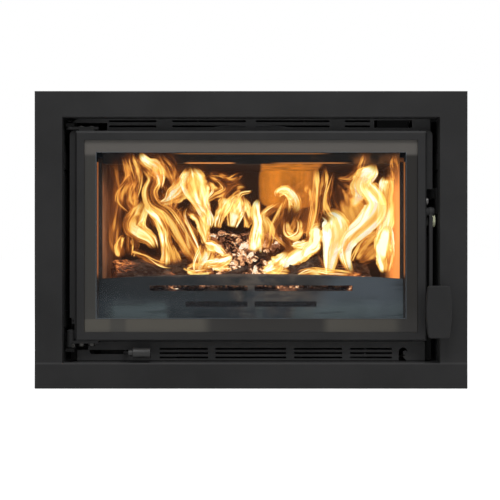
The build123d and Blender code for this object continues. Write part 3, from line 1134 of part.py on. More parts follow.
def make_fuel():
    """The ember bed behind the guard, with the logs and the heap of charcoal that lie on it."""
    with BuildPart() as embers:
        with BuildSketch(Plane.XY.offset(HEARTH_Z)):
            with Locations((0, mid(EMBER_Y))):
                Rectangle(2 * (BRICK_FACE_X - EMBER_GAP), EMBER_Y[1] - EMBER_Y[0])
        extrude(amount=EMBER_H, taper=EMBER_TAPER)
    save(embers.part, "ember_bed")
    ember_depth = EMBER_Y[1] - EMBER_Y[0]
    heap_x, heap_y = HEAP_PLACE_SHARES[0] * BRICK_FACE_X, EMBER_Y[0] + HEAP_PLACE_SHARES[1] * ember_depth
    wide, deep = HEAP_REACH_SHARES[0] * BRICK_FACE_X, HEAP_REACH_SHARES[1] * ember_depth
    with BuildPart() as heap:
        for height, share in ((EMBER_TOP_Z, 1.0), (EMBER_TOP_Z + HEAP_H, HEAP_CROWN_SHARE)):
            with BuildSketch(Plane.XY.offset(height)):
                with Locations((heap_x, heap_y)):
                    Ellipse(wide * share, deep * share)
        loft(ruled=True)
    save(heap.part, "charcoal_heap")
    upper_z = EMBER_TOP_Z + (1 + LOG_FLAT) * LOG_BACK_R + LOG_REST_GAP
    logs = (
        ("log_back", LOG_BACK_SHARES, LOG_BACK_DEPTHS, LOG_BACK_R, EMBER_TOP_Z),
        ("log_left", LOG_LEFT_SHARES, LOG_LEFT_DEPTHS, LOG_LEFT_R, EMBER_TOP_Z),
        ("log_right", LOG_RIGHT_SHARES, LOG_RIGHT_DEPTHS, LOG_RIGHT_R, EMBER_TOP_Z),
        ("log_top", LOG_TOP_SHARES, LOG_TOP_DEPTHS, LOG_TOP_R, upper_z),
    )
    for name, shares, depths, radius, rest_z in logs:
        start, end = [
            Vector(x * BRICK_FACE_X, EMBER_Y[0] + y * ember_depth, rest_z)
            for x, y in zip(shares, depths)
        ]
        run = end - start
        level = Plane(origin=start, x_dir=run.cross(Vector(0, 0, 1)), z_dir=run)
        up = -1 if level.y_dir.Z < 0 else 1
        with BuildPart() as log:
            with BuildSketch(level):
                with Locations((0, up * LOG_FLAT * radius)):
                    Circle(radius)
                with Locations((0, -up * radius)):
                    Rectangle(2 * radius, 2 * radius, mode=Mode.SUBTRACT)
            extrude(amount=run.length)
        save(log.part, name)


make_surround_frame()
make_frame_hangers()
make_top_grille()
make_bottom_grille()
make_casing()
make_firebox()
make_lining()
make_log_guard()
make_door_frame()
make_door_inside()
make_hinge()
make_jamb_strips()
make_latch()
make_air_control()
make_fuel()
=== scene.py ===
"""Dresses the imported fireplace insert: its finishes, its fuel and fire, its small fastenings and a studio."""

import math
import random

import bmesh
import bpy
from bpy.props import FloatProperty, FloatVectorProperty, IntProperty, PointerProperty
from mathutils import Matrix, Vector, noise


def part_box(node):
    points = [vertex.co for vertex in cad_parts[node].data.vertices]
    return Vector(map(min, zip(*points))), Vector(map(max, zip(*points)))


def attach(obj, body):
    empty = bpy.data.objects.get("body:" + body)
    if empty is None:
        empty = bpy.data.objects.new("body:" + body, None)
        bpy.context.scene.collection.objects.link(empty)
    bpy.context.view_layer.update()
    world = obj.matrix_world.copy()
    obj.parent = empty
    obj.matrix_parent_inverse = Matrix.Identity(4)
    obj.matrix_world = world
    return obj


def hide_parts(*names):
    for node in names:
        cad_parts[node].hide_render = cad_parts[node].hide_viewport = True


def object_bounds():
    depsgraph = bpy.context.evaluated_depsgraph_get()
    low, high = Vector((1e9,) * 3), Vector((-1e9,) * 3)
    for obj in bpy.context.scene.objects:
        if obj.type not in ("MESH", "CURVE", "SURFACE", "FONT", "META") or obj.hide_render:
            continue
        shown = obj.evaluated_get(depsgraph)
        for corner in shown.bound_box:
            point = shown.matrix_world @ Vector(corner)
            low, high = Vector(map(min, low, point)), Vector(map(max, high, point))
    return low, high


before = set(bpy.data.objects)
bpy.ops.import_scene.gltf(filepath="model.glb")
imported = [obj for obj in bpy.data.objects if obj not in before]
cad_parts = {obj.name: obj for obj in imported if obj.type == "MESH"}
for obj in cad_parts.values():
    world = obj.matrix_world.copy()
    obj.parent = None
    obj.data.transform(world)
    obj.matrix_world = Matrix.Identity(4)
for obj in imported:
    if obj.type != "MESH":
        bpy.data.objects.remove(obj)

CAD_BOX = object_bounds()

bl_info = {
    "name": "Fireplace insert",
    "version": (1, 0, 0),
    "blender": (4, 5, 0),
    "location": "3D View > Sidebar > Fireplace",
    "description": "Finishes, fuel, fire and studio for an inset wood-burning fireplace",
    "category": "Object",
}

# ---- where the photograph's pixels lie on the plane of the frame's face ----
PHOTO_MIDDLE_PX = 250.0
FRAME_MIDDLE_PX = 251.08
FRAME_LOW_PX = 388.75
METRES_PER_PX = 0.0018473
FACE_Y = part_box("surround_frame")[0].y
CAMERA_X = (PHOTO_MIDDLE_PX - FRAME_MIDDLE_PX) * METRES_PER_PX
CAMERA_Z = (FRAME_LOW_PX - PHOTO_MIDDLE_PX) * METRES_PER_PX
PHOTO_WIDTH = 2 * PHOTO_MIDDLE_PX * METRES_PER_PX

# ---- places on the solids that the finishes and new pieces follow, in metres ----
BED_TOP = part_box("ember_bed")[1].z
DOOR_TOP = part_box("door_frame")[1].z
SILL_Z = 0.047                              # lower edge of the opening in the surround frame
GUARD_SHADE_Z = 0.178, 0.192                # the guard shades the fuel below, the fire lights it above
WINDOW_HALF_X = 0.2886                      # the clear window in the glass's printed border
WINDOW_LOW_Z, WINDOW_TOP_Z = 0.1290, 0.4383
LIP_Z = 0.4224                              # lower lip of the air deflector
THROAT_Z = 0.419, 0.433                     # the throat plates' undersides


# ================================ sizes and colours a user would change ================================

class FinishSettings(bpy.types.PropertyGroup):
    """Colours and roughness of the finishes."""
    frame_colour: FloatVectorProperty(
        name="Frame paint", description="Surround frame and paddle", subtype="COLOR",
        default=(0.0172, 0.0172, 0.0175))
    stove_colour: FloatVectorProperty(
        name="Stove paint", description="Door, hinge and latch", subtype="COLOR",
        default=(0.0178, 0.0178, 0.0182))
    shade_colour: FloatVectorProperty(
        name="Inner paint", description="Grilles and strips", subtype="COLOR", default=(0.0165, 0.0165, 0.0168))
    paint_roughness: FloatProperty(
        name="Paint roughness", description="How matt the paint is", subtype="FACTOR", default=0.62, min=0, max=1)
    rope_width: FloatProperty(
        name="Rope width", description="Width of the pressed door rope", subtype="DISTANCE",
        default=0.012, min=0.004)
    brick_colour: FloatVectorProperty(
        name="Fire brick", description="Vermiculite board", subtype="COLOR", default=(0.42, 0.22, 0.12))
    guard_colour: FloatVectorProperty(
        name="Log guard", description="Cast iron dusted with ash", subtype="COLOR", default=(0.024, 0.029, 0.034))
    glow_colour: FloatVectorProperty(
        name="Fire glow", description="Light of the fire on the bricks", subtype="COLOR",
        default=(1.0, 0.30, 0.075))


class FireSettings(bpy.types.PropertyGroup):
    """How much fuel and fire there is."""
    chunk_count: IntProperty(
        name="Charcoal pieces", description="Pieces in the heap", default=190, min=10, max=600)
    chunk_size: FloatProperty(
        name="Charcoal size", description="Usual size of a piece", subtype="DISTANCE", default=0.0165, min=0.004)
    flame_strength: FloatProperty(
        name="Flame strength", description="Brightness of the flames", default=1.0, min=0.0, max=5.0)
    ember_glow: FloatProperty(
        name="Ember glow", description="Brightness of the embers", default=1.0, min=0.0, max=5.0)


class StudioSettings(bpy.types.PropertyGroup):
    """Camera and light."""
    camera_distance: FloatProperty(
        name="Camera distance", description="From the frame's face", subtype="DISTANCE", default=2.4, min=0.5)
    key_power: FloatProperty(name="Key light", description="Power of the large lamp", unit="POWER", default=8.0)
    top_power: FloatProperty(
        name="Top light", description="Power of the lamp overhead", unit="POWER", default=36.0)
    fill_power: FloatProperty(name="Fill light", description="Power of the weak lamp", unit="POWER", default=8.0)
    ambient: FloatProperty(name="Ambient", description="Light from all round", default=0.38, min=0.0)


# ================================ shader maths ================================

NOISE_ROUGHNESS = 0.55


class Wire:
    """A shader socket that takes part in sums."""

    def __init__(self, shade, socket):
        self.shade, self.socket = shade, socket

    def other(self, name):
        """Another output of the same node."""
        return Wire(self.shade, self.socket.node.outputs[name])

    def _with(self, operation, *values):
        return self.shade.add("Math", {"operation": operation}, dict(enumerate(values)))

    def __add__(self, value):
        return self._with("ADD", self, value)

    def __sub__(self, value):
        return self._with("SUBTRACT", self, value)

    def __rsub__(self, value):
        return self._with("SUBTRACT", value, self)

    def __mul__(self, value):
        return self._with("MULTIPLY", self, value)

    def __pow__(self, value):
        return self._with("POWER", self, value)

    def __abs__(self):
        return self._with("ABSOLUTE", self)

    def least(self, value):
        """The smaller of the two."""
        return self._with("MINIMUM", self, value)

    def most(self, value):
        """The larger of the two."""
        return self._with("MAXIMUM", self, value)

    def fold(self, half):
        """The distance to the nearest even multiple of half."""
        return self._with("PINGPONG", self, half)

    def step(self, low, high):
        """A smooth rise from 0 at low to 1 at high, or a fall where high is below low."""
        ends = {"From Min": min(low, high), "From Max": max(low, high),
                "To Min": float(high < low), "To Max": float(high > low)}
        return self.shade.add("MapRange", {"interpolation_type": "SMOOTHSTEP"}, {"Value": self, **ends})

    __radd__ = __add__
    __rmul__ = __mul__


class Shade:
    """One material, or one world, with the few kinds of pattern that the finishes use."""

    def __init__(self, name, world=False):
        self.owner = (bpy.data.worlds if world else bpy.data.materials).new(name)
        self.owner.use_nodes = True
        self.tree = self.owner.node_tree
        self.tree.nodes.clear()
        self.place = None if world else self.add("TexCoord", output="Object")

    def add(self, kind, settings=(), inputs=(), output=0):
        """A node of a kind, its settings first, then its sockets' values or links; gives one output."""
        node = self.tree.nodes.new("ShaderNode" + kind)
        for name, value in dict(settings).items():
            if name == "stops":
                ramp = node.color_ramp.elements
                ramp[0].position, ramp[1].position = value[0][0], value[-1][0]
                for position, _ in value[1:-1]:
                    ramp.new(position)
                for element, (_, colour) in zip(ramp, value):
                    element.color = (*colour, 1)
            else:
                setattr(node, name, value)
        for name, value in dict(inputs).items():
            if isinstance(value, Wire):
                self.tree.links.new(value.socket, node.inputs[name])
            elif isinstance(value, (int, float)):
                node.inputs[name].default_value = value
            else:
                size = len(node.inputs[name].default_value)
                node.inputs[name].default_value = (*value, 1.0)[:size]
        return Wire(self, node.outputs[output]) if node.outputs else None

    def axes(self):
        """The three object coordinates."""
        split = self.add("SeparateXYZ", {}, {0: self.place})
        return split, split.other("Y"), split.other("Z")

    def stretch(self, scale, turn=(0, 0, 0)):
        """Object coordinates turned and scaled along their axes."""
        return self.add("Mapping", {}, {"Vector": self.place, "Rotation": turn, "Scale": scale})

    def grain(self, scale, detail=4.0, place=None, distortion=0.0):
        """Noise from 0 to 1."""
        sockets = {"Vector": place or self.place, "Scale": scale, "Detail": detail, "Roughness": NOISE_ROUGHNESS,
                   "Distortion": distortion}
        return self.add("TexNoise", {}, sockets)

    def cells(self, scale, place=None, feature="DISTANCE_TO_EDGE"):
        """Distance to the edges of irregular cells, or to their middles."""
        sockets = {"Vector": place or self.place, "Scale": scale}
        return self.add("TexVoronoi", {"feature": feature}, sockets, "Distance")

    def seen(self):
        """1 where the camera sees a surface itself, or sees it in metal or through glass."""
        path = self.add("LightPath", output="Is Camera Ray")
        return path.most(path.other("Is Glossy Ray")).most(path.other("Is Transmission Ray"))

    def mix(self, share, low, high):
        """A colour between two colours."""
        return self.add("Mix", {"data_type": "RGBA"}, {0: share, 6: low, 7: high}, 2)

    def coats(self, tone, *coats):
        """A colour with others laid over it in turn, each by its share."""
        for share, colour in coats:
            tone = self.mix(share, tone, colour)
        return tone

    def lit(self, share, colour):
        """A light's colour, down to black where its share is none."""
        return self.mix(share, (0, 0, 0), colour)

    def ramp(self, value, *stops):
        """A colour from stops along a value."""
        return self.add("ValToRGB", {"stops": stops}, {0: value})

    def finish(self, tone, roughness, specular=0.5, bump=None, metallic=0.0, alpha=1.0, light=None, strength=1.0):
        """Joins a Principled surface, its bump given as height, depth and strength, and gives the material."""
        sockets = {"Base Color": tone, "Roughness": roughness, "Specular IOR Level": specular,
                   "Metallic": metallic, "Alpha": alpha}
        if bump:
            height, depth, force = bump
            sockets["Normal"] = self.add("Bump", {}, {"Height": height, "Distance": depth, "Strength": force})
        if light:
            sockets |= {"Emission Color": light, "Emission Strength": strength}
        self.add("OutputMaterial", {}, {"Surface": self.add("BsdfPrincipled", {}, sockets)})
        return self.owner


# ================================ finishes ================================

def dim(colour, factor):
    """A colour made darker or lighter."""
    return tuple(part * factor for part in colour)


PAINT_SPECK = 2600.0        # specks of paint to the metre
PAINT_SPECK_DEPTH = 0.00006
GRILLE_FACE_Y = 0.0022      # what lies deeper than this is behind the grilles' faces and gets painted shade


def cloudy(shade, colour, scale):
    """A paint's colour with faint clouds in it, and the clouds."""
    cloud = shade.grain(scale, 3.0)
    return shade.mix(cloud.step(0.3, 0.7), dim(colour, 0.86), dim(colour, 1.14)), cloud


def make_paint(name, colour, roughness, specular=0.12, painted_highlight=None):
    """Fine-textured stove paint with faint cloudiness, lighter as a painted highlight where the given mask says.
    """
    shade = Shade(name)
    tone, cloud = cloudy(shade, colour, 9.0)
    speck = shade.grain(PAINT_SPECK, 2.0)
    if painted_highlight:
        # painted highlight: the paint drawn lighter along a lit edge
        tone = shade.mix(painted_highlight(*shade.axes()), tone, dim(colour, 2.1))
    rough = (cloud - 0.5) * 0.10 + (speck - 0.5) * 0.08 + roughness
    return shade.finish(tone, rough, specular, bump=(speck, PAINT_SPECK_DEPTH, 0.5))


def sill_highlight(_x, _y, z):
    """The painted highlight: a line of light along the lower edge of the surround frame's opening."""
    return z.step(SILL_Z - 0.0024, SILL_Z - 0.0017) * z.step(SILL_Z + 0.0020, SILL_Z + 0.0010)


def crest_highlight(_x, y, z):
    """The painted highlight: a line of light along the bevel on top of the door."""
    return z.step(DOOR_TOP - 0.0046, DOOR_TOP - 0.0036) * y.step(-0.014, -0.016)


def make_grille_paint(colour):
    """Inner paint, made lighter on the upper grille as painted light, with painted shade as a black line at the
    sill and on all that lies behind the faces.
    """
    shade = Shade("grille_paint")
    _, y, z = shade.axes()
    tone, _ = cloudy(shade, colour, 12.0)
    # painted light on the upper grille, and painted shade along the sill and on all behind the faces
    tone = shade.coats(
        tone, (z.step(0.1, 0.4) * 0.62, dim(colour, 1.9)),
        (z.step(SILL_Z + 0.0032, SILL_Z + 0.0022) * 0.85, dim(colour, 0.2)),
        (y.step(GRILLE_FACE_Y, GRILLE_FACE_Y + 0.001), dim(colour, 0.12)))
    speck = shade.grain(PAINT_SPECK, 2.0)
    return shade.finish(tone, 0.7, 0.1, bump=(speck, PAINT_SPECK_DEPTH, 0.5))


def make_steel(name, colour, roughness):
    """Bare turned steel with fine rings and a little tarnish."""
    shade = Shade(name)
    rings = shade.grain(900.0, 2.0, shade.stretch((1, 0.05, 0.05)))
    tarnish = shade.grain(120.0, 4.0)
    tone = shade.mix(tarnish.step(0.35, 0.75), colour, dim(colour, 0.62))
    rough = (rings - 0.5) * 0.25 + tarnish * 0.12 + roughness
    return shade.finish(tone, rough, bump=(rings, 0.00004, 0.4), metallic=1.0)


WELD_PITCH = 0.07
WELD_RADIUS = 0.0034, 0.0018                # outer and inner edge of a spot
WELD_HALF_X, WELD_Y = 0.342, 0.371          # the upright rows on the back and on the sides
WELD_MIDDLE_Z, WELD_HALF_Z = 0.2745, 0.221  # the level rows, above and below the middle
CASING_BACK_Y, CASING_SIDE_X = 0.3795, 0.3503


def make_casing_coat():
    """Sheet steel with a black coating: rows of spot welds along its folds, scuffs and a rolled grain."""
    shade = Shade("casing_coat")
    x, y, z = shade.axes()
    cloud = shade.grain(5.0, 4.0)
    scuff = shade.grain(60.0, 5.0, shade.stretch((1, 1, 6)))
    scratch = shade.grain(22.0, 3.0, shade.stretch((1, 9, 1), (0.5, 0.3, 0.9))).step(0.70, 0.76)
    back = y.step(CASING_BACK_Y - 0.0015, CASING_BACK_Y)
    side = abs(x).step(CASING_SIDE_X - 0.0013, CASING_SIDE_X)
    level, upright = abs(abs(z - WELD_MIDDLE_Z) - WELD_HALF_Z), abs(abs(x) - WELD_HALF_X)

    def spots(away, along):
        beat = along.fold(WELD_PITCH / 2)
        return ((away * away + beat * beat) ** 0.5).step(*WELD_RADIUS)

    weld = (spots(level, x).most(spots(upright, z)) * back).most(
        spots(level, y).most(spots(abs(y - WELD_Y), z)) * side)
    tone = shade.coats(
        shade.mix(cloud.step(0.3, 0.7), (0.017, 0.017, 0.018), (0.032, 0.032, 0.034)),
        ((scuff.step(0.66, 0.8) * 0.35).most(scratch * 0.4), (0.10, 0.10, 0.10)),
        (weld * 0.7, (0.085, 0.080, 0.074)))
    height = shade.grain(700.0, 2.0) * 0.06 - weld
    return shade.finish(tone, cloud * 0.2 + scuff * 0.12 + 0.3, bump=(height, 0.0007, 0.5), metallic=0.15)


def make_cast_iron(settings):
    """The guard's cast iron: coarse skin, paler to the right, painted bluish highlights low down, ash, warm dust,
    wear marks and a little grit.
    """
    shade = Shade("guard_iron")
    x, _, z = shade.axes()
    colour = settings.guard_colour
    blotch = shade.grain(6.5, 2.5, shade.stretch((1, 0.3, 0.6)), distortion=0.8)
    fine = shade.grain(420.0, 4.0)
    skin = shade.mix(blotch.step(0.40, 0.62), dim(colour, 0.22), dim(colour, 1.25))
    skin = shade.mix(x.step(-0.10, 0.22), dim(colour, 0.36), shade.mix(0.6, skin, dim(colour, 3.0)))
    skin = shade.mix(blotch.step(0.44, 0.58), dim(colour, 0.30), skin)
    # painted highlight: pale bluish streaks on the lower part of the guard
    pale = shade.grain(11.0, 2.0, shade.stretch((1, 1, 0.25))).step(0.42, 0.62) * z.step(0.170, 0.140)
    warm = shade.grain(5.0, 2.0).step(0.45, 0.70) * z.step(0.165, 0.200)
    ash = (z + (shade.grain(55.0, 3.0) - 0.5) * 0.010).step(0.203, 0.211) * abs(x).step(0.26, 0.16)
    dust = shade.grain(30.0, 4.0).step(0.36, 0.62) * abs(x - 0.035).step(0.13, 0.03) * z.step(0.105, 0.160)
    wear = shade.grain(48.0, 3.0, shade.stretch((0.16, 1, 1.7))).step(0.54, 0.64)
    grit = shade.cells(150.0, feature="F1").step(0.20, 0.07) * shade.grain(8.0, 2.0).step(0.47, 0.62)
    tone = shade.coats(
        skin, (pale * 0.75, (0.085, 0.110, 0.112)), (warm * 0.7, (0.060, 0.050, 0.042)),
        (ash * 0.6, (0.15, 0.10, 0.07)), (dust * 0.55, (0.125, 0.094, 0.070)), (wear * 0.45, dim(colour, 0.25)),
        (grit * 0.7, (0.34, 0.34, 0.32)))
    return shade.finish(tone, fine * 0.25 + 0.55, 0.2, bump=(fine, 0.0004, 0.6))


BRICK_HALF_X, BRICK_BACK_Y = 0.278, 0.318         # inner faces of the side bricks and the back brick
BRICK_FRONT_Y = 0.0262
BRICK_SEAM_X = 0.2905                             # the joint between a side brick and its cheek
PANEL_X, PANEL_Z = 0.080, 0.392                   # middle of the patch of painted firelight on the back
PANEL_REACH_X, PANEL_REACH_Z = 52000.0, 170000.0  # one over the fourth power of its half sizes


def make_brick(settings):
    """Vermiculite board: flaky grain, soot above, darker at the front faces, near black on the back and, as
    painted shade, under the throat plates, with the fire's light painted on it as glow.
    """
    shade = Shade("fire_brick")
    x, y, z = shade.axes()
    flake = shade.cells(260.0, feature="F1")
    cloud = shade.grain(14.0, 5.0)
    fleck = shade.grain(120.0, 4.0)
    streak = shade.grain(26.0, 3.0, shade.stretch((1, 1, 0.12))).step(0.3, 0.7)
    colour = settings.brick_colour
    # painted shade under the throat plates, and the back drawn near black, where only painted firelight shows
    low, high = THROAT_Z
    throat = z.step(low, low + 0.0035) * z.step(high, high - 0.005)
    inner = y.step(BRICK_BACK_Y - 0.018, BRICK_BACK_Y).most(throat)
    middle = abs(x).step(BRICK_HALF_X, BRICK_HALF_X - 0.006) * inner
    rounded = (abs(x - PANEL_X) ** 4 * PANEL_REACH_X + abs(z - PANEL_Z) ** 4 * PANEL_REACH_Z
               + (cloud - 0.5) * 0.144).step(1.0, 0.62)
    panel = rounded * x.step(0.185, 0.100) * middle
    front = y.step(BRICK_FRONT_Y + 0.001, BRICK_FRONT_Y)
    soot = (z + (cloud - 0.5) * 0.12).step(0.34, 0.44)
    tone = shade.coats(
        shade.mix(cloud.step(0.3, 0.75), colour, dim(colour, 0.55)),
        ((soot * 0.85).most(middle * 0.96).most(front * 0.94), (0.020, 0.017, 0.015)))
    # painted firelight: the fire's light drawn on the side bricks, strongest to the right, and on a panel of the
    # back
    right = x.step(0.05, 0.26)
    side = z.step(0.452, 0.30) * y.step(0.33, 0.03) * z.step(0.150, 0.22) * (1 - middle)
    light = side * (right * 1.8 + 0.02) * (streak * 0.45 + 0.75) + panel * (streak * 0.50 + 0.24) + middle * 0.012
    # painted light: a thin line of glow along the joint on the front face
    seam_glow = abs(abs(x) - BRICK_SEAM_X).step(0.0018, 0.0008) * front * z.step(0.20, 0.215)
    light = (light * (1 - front) + seam_glow * 0.32) * ((fleck - 0.5) * 0.6 + 1.0)
    glow = shade.coats(
        shade.lit(light, settings.glow_colour), (right * 0.6, shade.lit(light, (1.0, 0.31, 0.052))),
        (panel, shade.lit(light, (1.0, 0.30, 0.026))))
    return shade.finish(tone, 0.95, 0.1, bump=(flake, 0.0006, 0.5), light=glow)


def make_deflector_steel():
    """The sooty air deflector, its lower lip and its fold lit by the fire in places."""
    shade = Shade("sooty_deflector")
    x, _, z = shade.axes()
    soot = shade.grain(40.0, 4.0)
    lip = (z + (soot - 0.5) * 0.0012).step(LIP_Z + 0.0008, LIP_Z - 0.0008)
    lip = lip * (abs(x + 0.078).step(0.052, 0.036) + abs(x - 0.113).step(0.082, 0.050) * 0.55)
    fold = abs(z - LIP_Z - 0.0154).step(0.0010, 0.0003) * abs(x).step(0.155, 0.120) * 0.45
    rise = shade.grain(16.0, 3.0, shade.stretch((1, 1, 0.2))).step(0.50, 0.75) * z.step(0.446, 0.424) * 0.20
    tone = shade.mix(soot, (0.006, 0.005, 0.005), (0.018, 0.015, 0.013))
    light = shade.lit((lip * 0.75).most(rise).most(fold), (1.0, 0.36, 0.09))
    return shade.finish(tone, 0.85, 0.1, bump=(soot, 0.0005, 0.5), light=light)


def make_glass():
    """Ceramic glass: clear over the fire with a faint haze low down, and a dark printed border with painted
    reflections on it, lighter to the left, along the top and in patches along the bottom.
    """
    shade = Shade("ceramic_glass")
    x, _, z = shade.axes()
    side = abs(x).step(WINDOW_HALF_X - 0.0006, WINDOW_HALF_X + 0.0006)
    top = z.step(WINDOW_TOP_Z - 0.0005, WINDOW_TOP_Z + 0.0005)
    low = z.step(WINDOW_LOW_Z + 0.0005, WINDOW_LOW_Z - 0.0005)
    border = side.most(top).most(low)
    cloud = shade.grain(6.0, 2.0, shade.stretch((1, 1, 0.4)))
    # painted reflections: patches on the bottom of the border, a band along its top, and its left side lighter
    reflection_patch = x.step(-0.070, -0.096).most(x.step(0.128, 0.150) * x.step(0.285, 0.262))
    reflection_patch = reflection_patch * (1 - abs(x + 0.248).step(0.020, 0.010) * 0.75) * (cloud * 0.5 + 0.72)
    upper = z.step(WINDOW_TOP_Z - 0.0083, WINDOW_TOP_Z - 0.0013) * ((cloud - 0.5) * 0.3 + 0.95)
    below = z.step(WINDOW_LOW_Z - 0.0005, WINDOW_LOW_Z - 0.0025) * reflection_patch * x.step(0.60, -0.05)
    # the print's own dark colour with the painted reflections laid over it
    print_and_reflections = shade.coats(
        shade.mix(x.step(0.0, -0.25), (0.013, 0.0115, 0.010), (0.030, 0.029, 0.026)),
        (upper, (0.081, 0.075, 0.068)), (below, (0.062, 0.057, 0.046)))
    smear = shade.grain(3.2, 3.0, shade.stretch((1, 1, 0.25)), distortion=0.4).step(0.48, 0.72)
    haze = z.step(0.195, 0.150) * (smear * 0.26 + 0.03) + 0.015
    tone = shade.mix(border, (0.16, 0.20, 0.235), print_and_reflections)
    return shade.finish(tone, 0.08, 0.22, alpha=(border * 2.0 + haze).least(1.0))


def make_rope():
    """Woven glass-fibre rope."""
    shade = Shade("door_rope")
    weave = shade.add("TexWave", {"bands_direction": "DIAGONAL"},
                      {"Vector": shade.place, "Scale": 260.0, "Distortion": 1.5, "Detail": 2.0}, "Fac")
    fuzz = shade.grain(900.0, 3.0)
    tone = shade.mix(weave * 0.7 + fuzz * 0.3, (0.035, 0.034, 0.032), (0.20, 0.19, 0.175))
    return shade.finish(tone, 0.95, 0.15, bump=(weave + fuzz, 0.0008, 0.8))


def make_roller_brass():
    """Pale turned brass with turning rings."""
    shade = Shade("roller_brass")
    rings = shade.grain(500.0, 2.0, shade.stretch((1, 0.02, 0.02)))
    tone = shade.mix(rings, (0.93, 0.96, 0.66), (0.80, 0.83, 0.52))
    return shade.finish(tone, rings * 0.2 + 0.32)


def make_charred_wood(settings):
    """Burnt wood: black blocks between fine cracks, grey ash on ridges and ember light in deep cracks."""
    shade = Shade("charred_wood")
    _, _, z = shade.axes()
    along = shade.stretch((0.45, 1, 1))
    blocks = shade.cells(85.0, along)
    fine = shade.grain(170.0, 6.0, along)
    hot = shade.grain(17.0, 4.0)
    crack = blocks.step(0.05, 0.0) * hot.step(0.50, 0.66)
    ash = shade.grain(26.0, 5.0).step(0.56, 0.68)
    tone = shade.coats(
        shade.mix(fine.step(0.35, 0.7), (0.012, 0.009, 0.007), (0.075, 0.052, 0.038)),
        (ash * 0.5, (0.22, 0.19, 0.16)))
    skin = (hot + z.step(0.225, 0.186) * 0.10 + (fine - 0.5) * 0.30).step(0.60, 0.80)
    light = shade.ramp(
        (crack * 0.55).most(skin * 0.8) + 0.02, (0, (0.010, 0.004, 0.002)), (0.30, (0.20, 0.045, 0.012)),
        (0.60, (0.85, 0.28, 0.06)), (1, (1.0, 0.80, 0.45)))
    height = blocks.least(0.25) * 2.4 + fine * 0.8
    return shade.finish(tone, 0.9, 0.2, bump=(height, 0.003, 0.9), light=light, strength=settings.ember_glow)


# The hot places behind the guard's slots: the middle of each, and how far it reaches faintly and in full.
PEEPS = (-0.150, 0.018, 0.004), (0.071, 0.034, 0.010), (0.192, 0.014, 0.004)
PEEP_Z = 0.157, 0.167
SLOT_GLOW = 0.95


def make_embers(settings):
    """Charcoal and ash, lit from within and by the flames above, dark where the guard shades them but for the
    hot places that show through its upper slots."""
    shade = Shade("embers")
    x, _, z = shade.axes()
    own = shade.add("Attribute", {"attribute_name": "own_seed"}, (), "Fac")
    fine = shade.grain(230.0, 6.0)
    hot = shade.grain(24.0, 4.0)
    heart = abs(x - 0.005).step(0.20, 0.02)
    raised = z.step(*GUARD_SHADE_Z)
    shaded = 1 - raised
    # painted shade in the gaps between the pieces; hot gaps glow brighter instead
    shaded_gap = shade.cells(54.0).step(0.15, 0.03) * raised
    tone = shade.coats(
        shade.mix(fine.step(0.35, 0.7), (0.030, 0.017, 0.011), (0.36, 0.18, 0.105)),
        (shade.grain(32.0, 4.0).step(0.54, 0.68) * 0.5, (0.34, 0.27, 0.22)),
        (shaded * 0.96, (0.009, 0.008, 0.008)), (shaded_gap * 0.9, (0.010, 0.006, 0.004)))
    left, middle, right = (abs(x - centre).step(faint, full) for centre, faint, full in PEEPS)
    peep = left.most(middle).most(right) * shaded * z.step(*PEEP_Z) * SLOT_GLOW
    spots = shade.grain(46.0, 3.0).step(0.60, 0.70) * shaded * 0.48
    spark = shade.grain(70.0, 2.0).step(0.63, 0.70) * raised * heart
    glow = hot * 0.50 + own * 0.40 + heart * 0.12 + (fine - 0.5) * 0.60 + spots + peep + spark * 0.45
    glow = glow + raised * 0.78 - 0.72 - shaded_gap * (0.34 - hot.step(0.56, 0.64) * 0.50)
    light = shade.ramp(
        glow, (0.22, (0.001, 0, 0)), (0.40, (0.050, 0.018, 0.009)), (0.56, (0.19, 0.070, 0.032)),
        (0.68, (0.52, 0.22, 0.10)), (0.78, (1.0, 0.56, 0.24)), (0.88, (1.0, 0.93, 0.72)))
    return shade.finish(tone, 0.95, 0.1, bump=(fine, 0.002, 0.7), light=light, strength=settings.ember_glow)


FLAME_COVER = 0.62
FLAME_LIGHT = 1.85


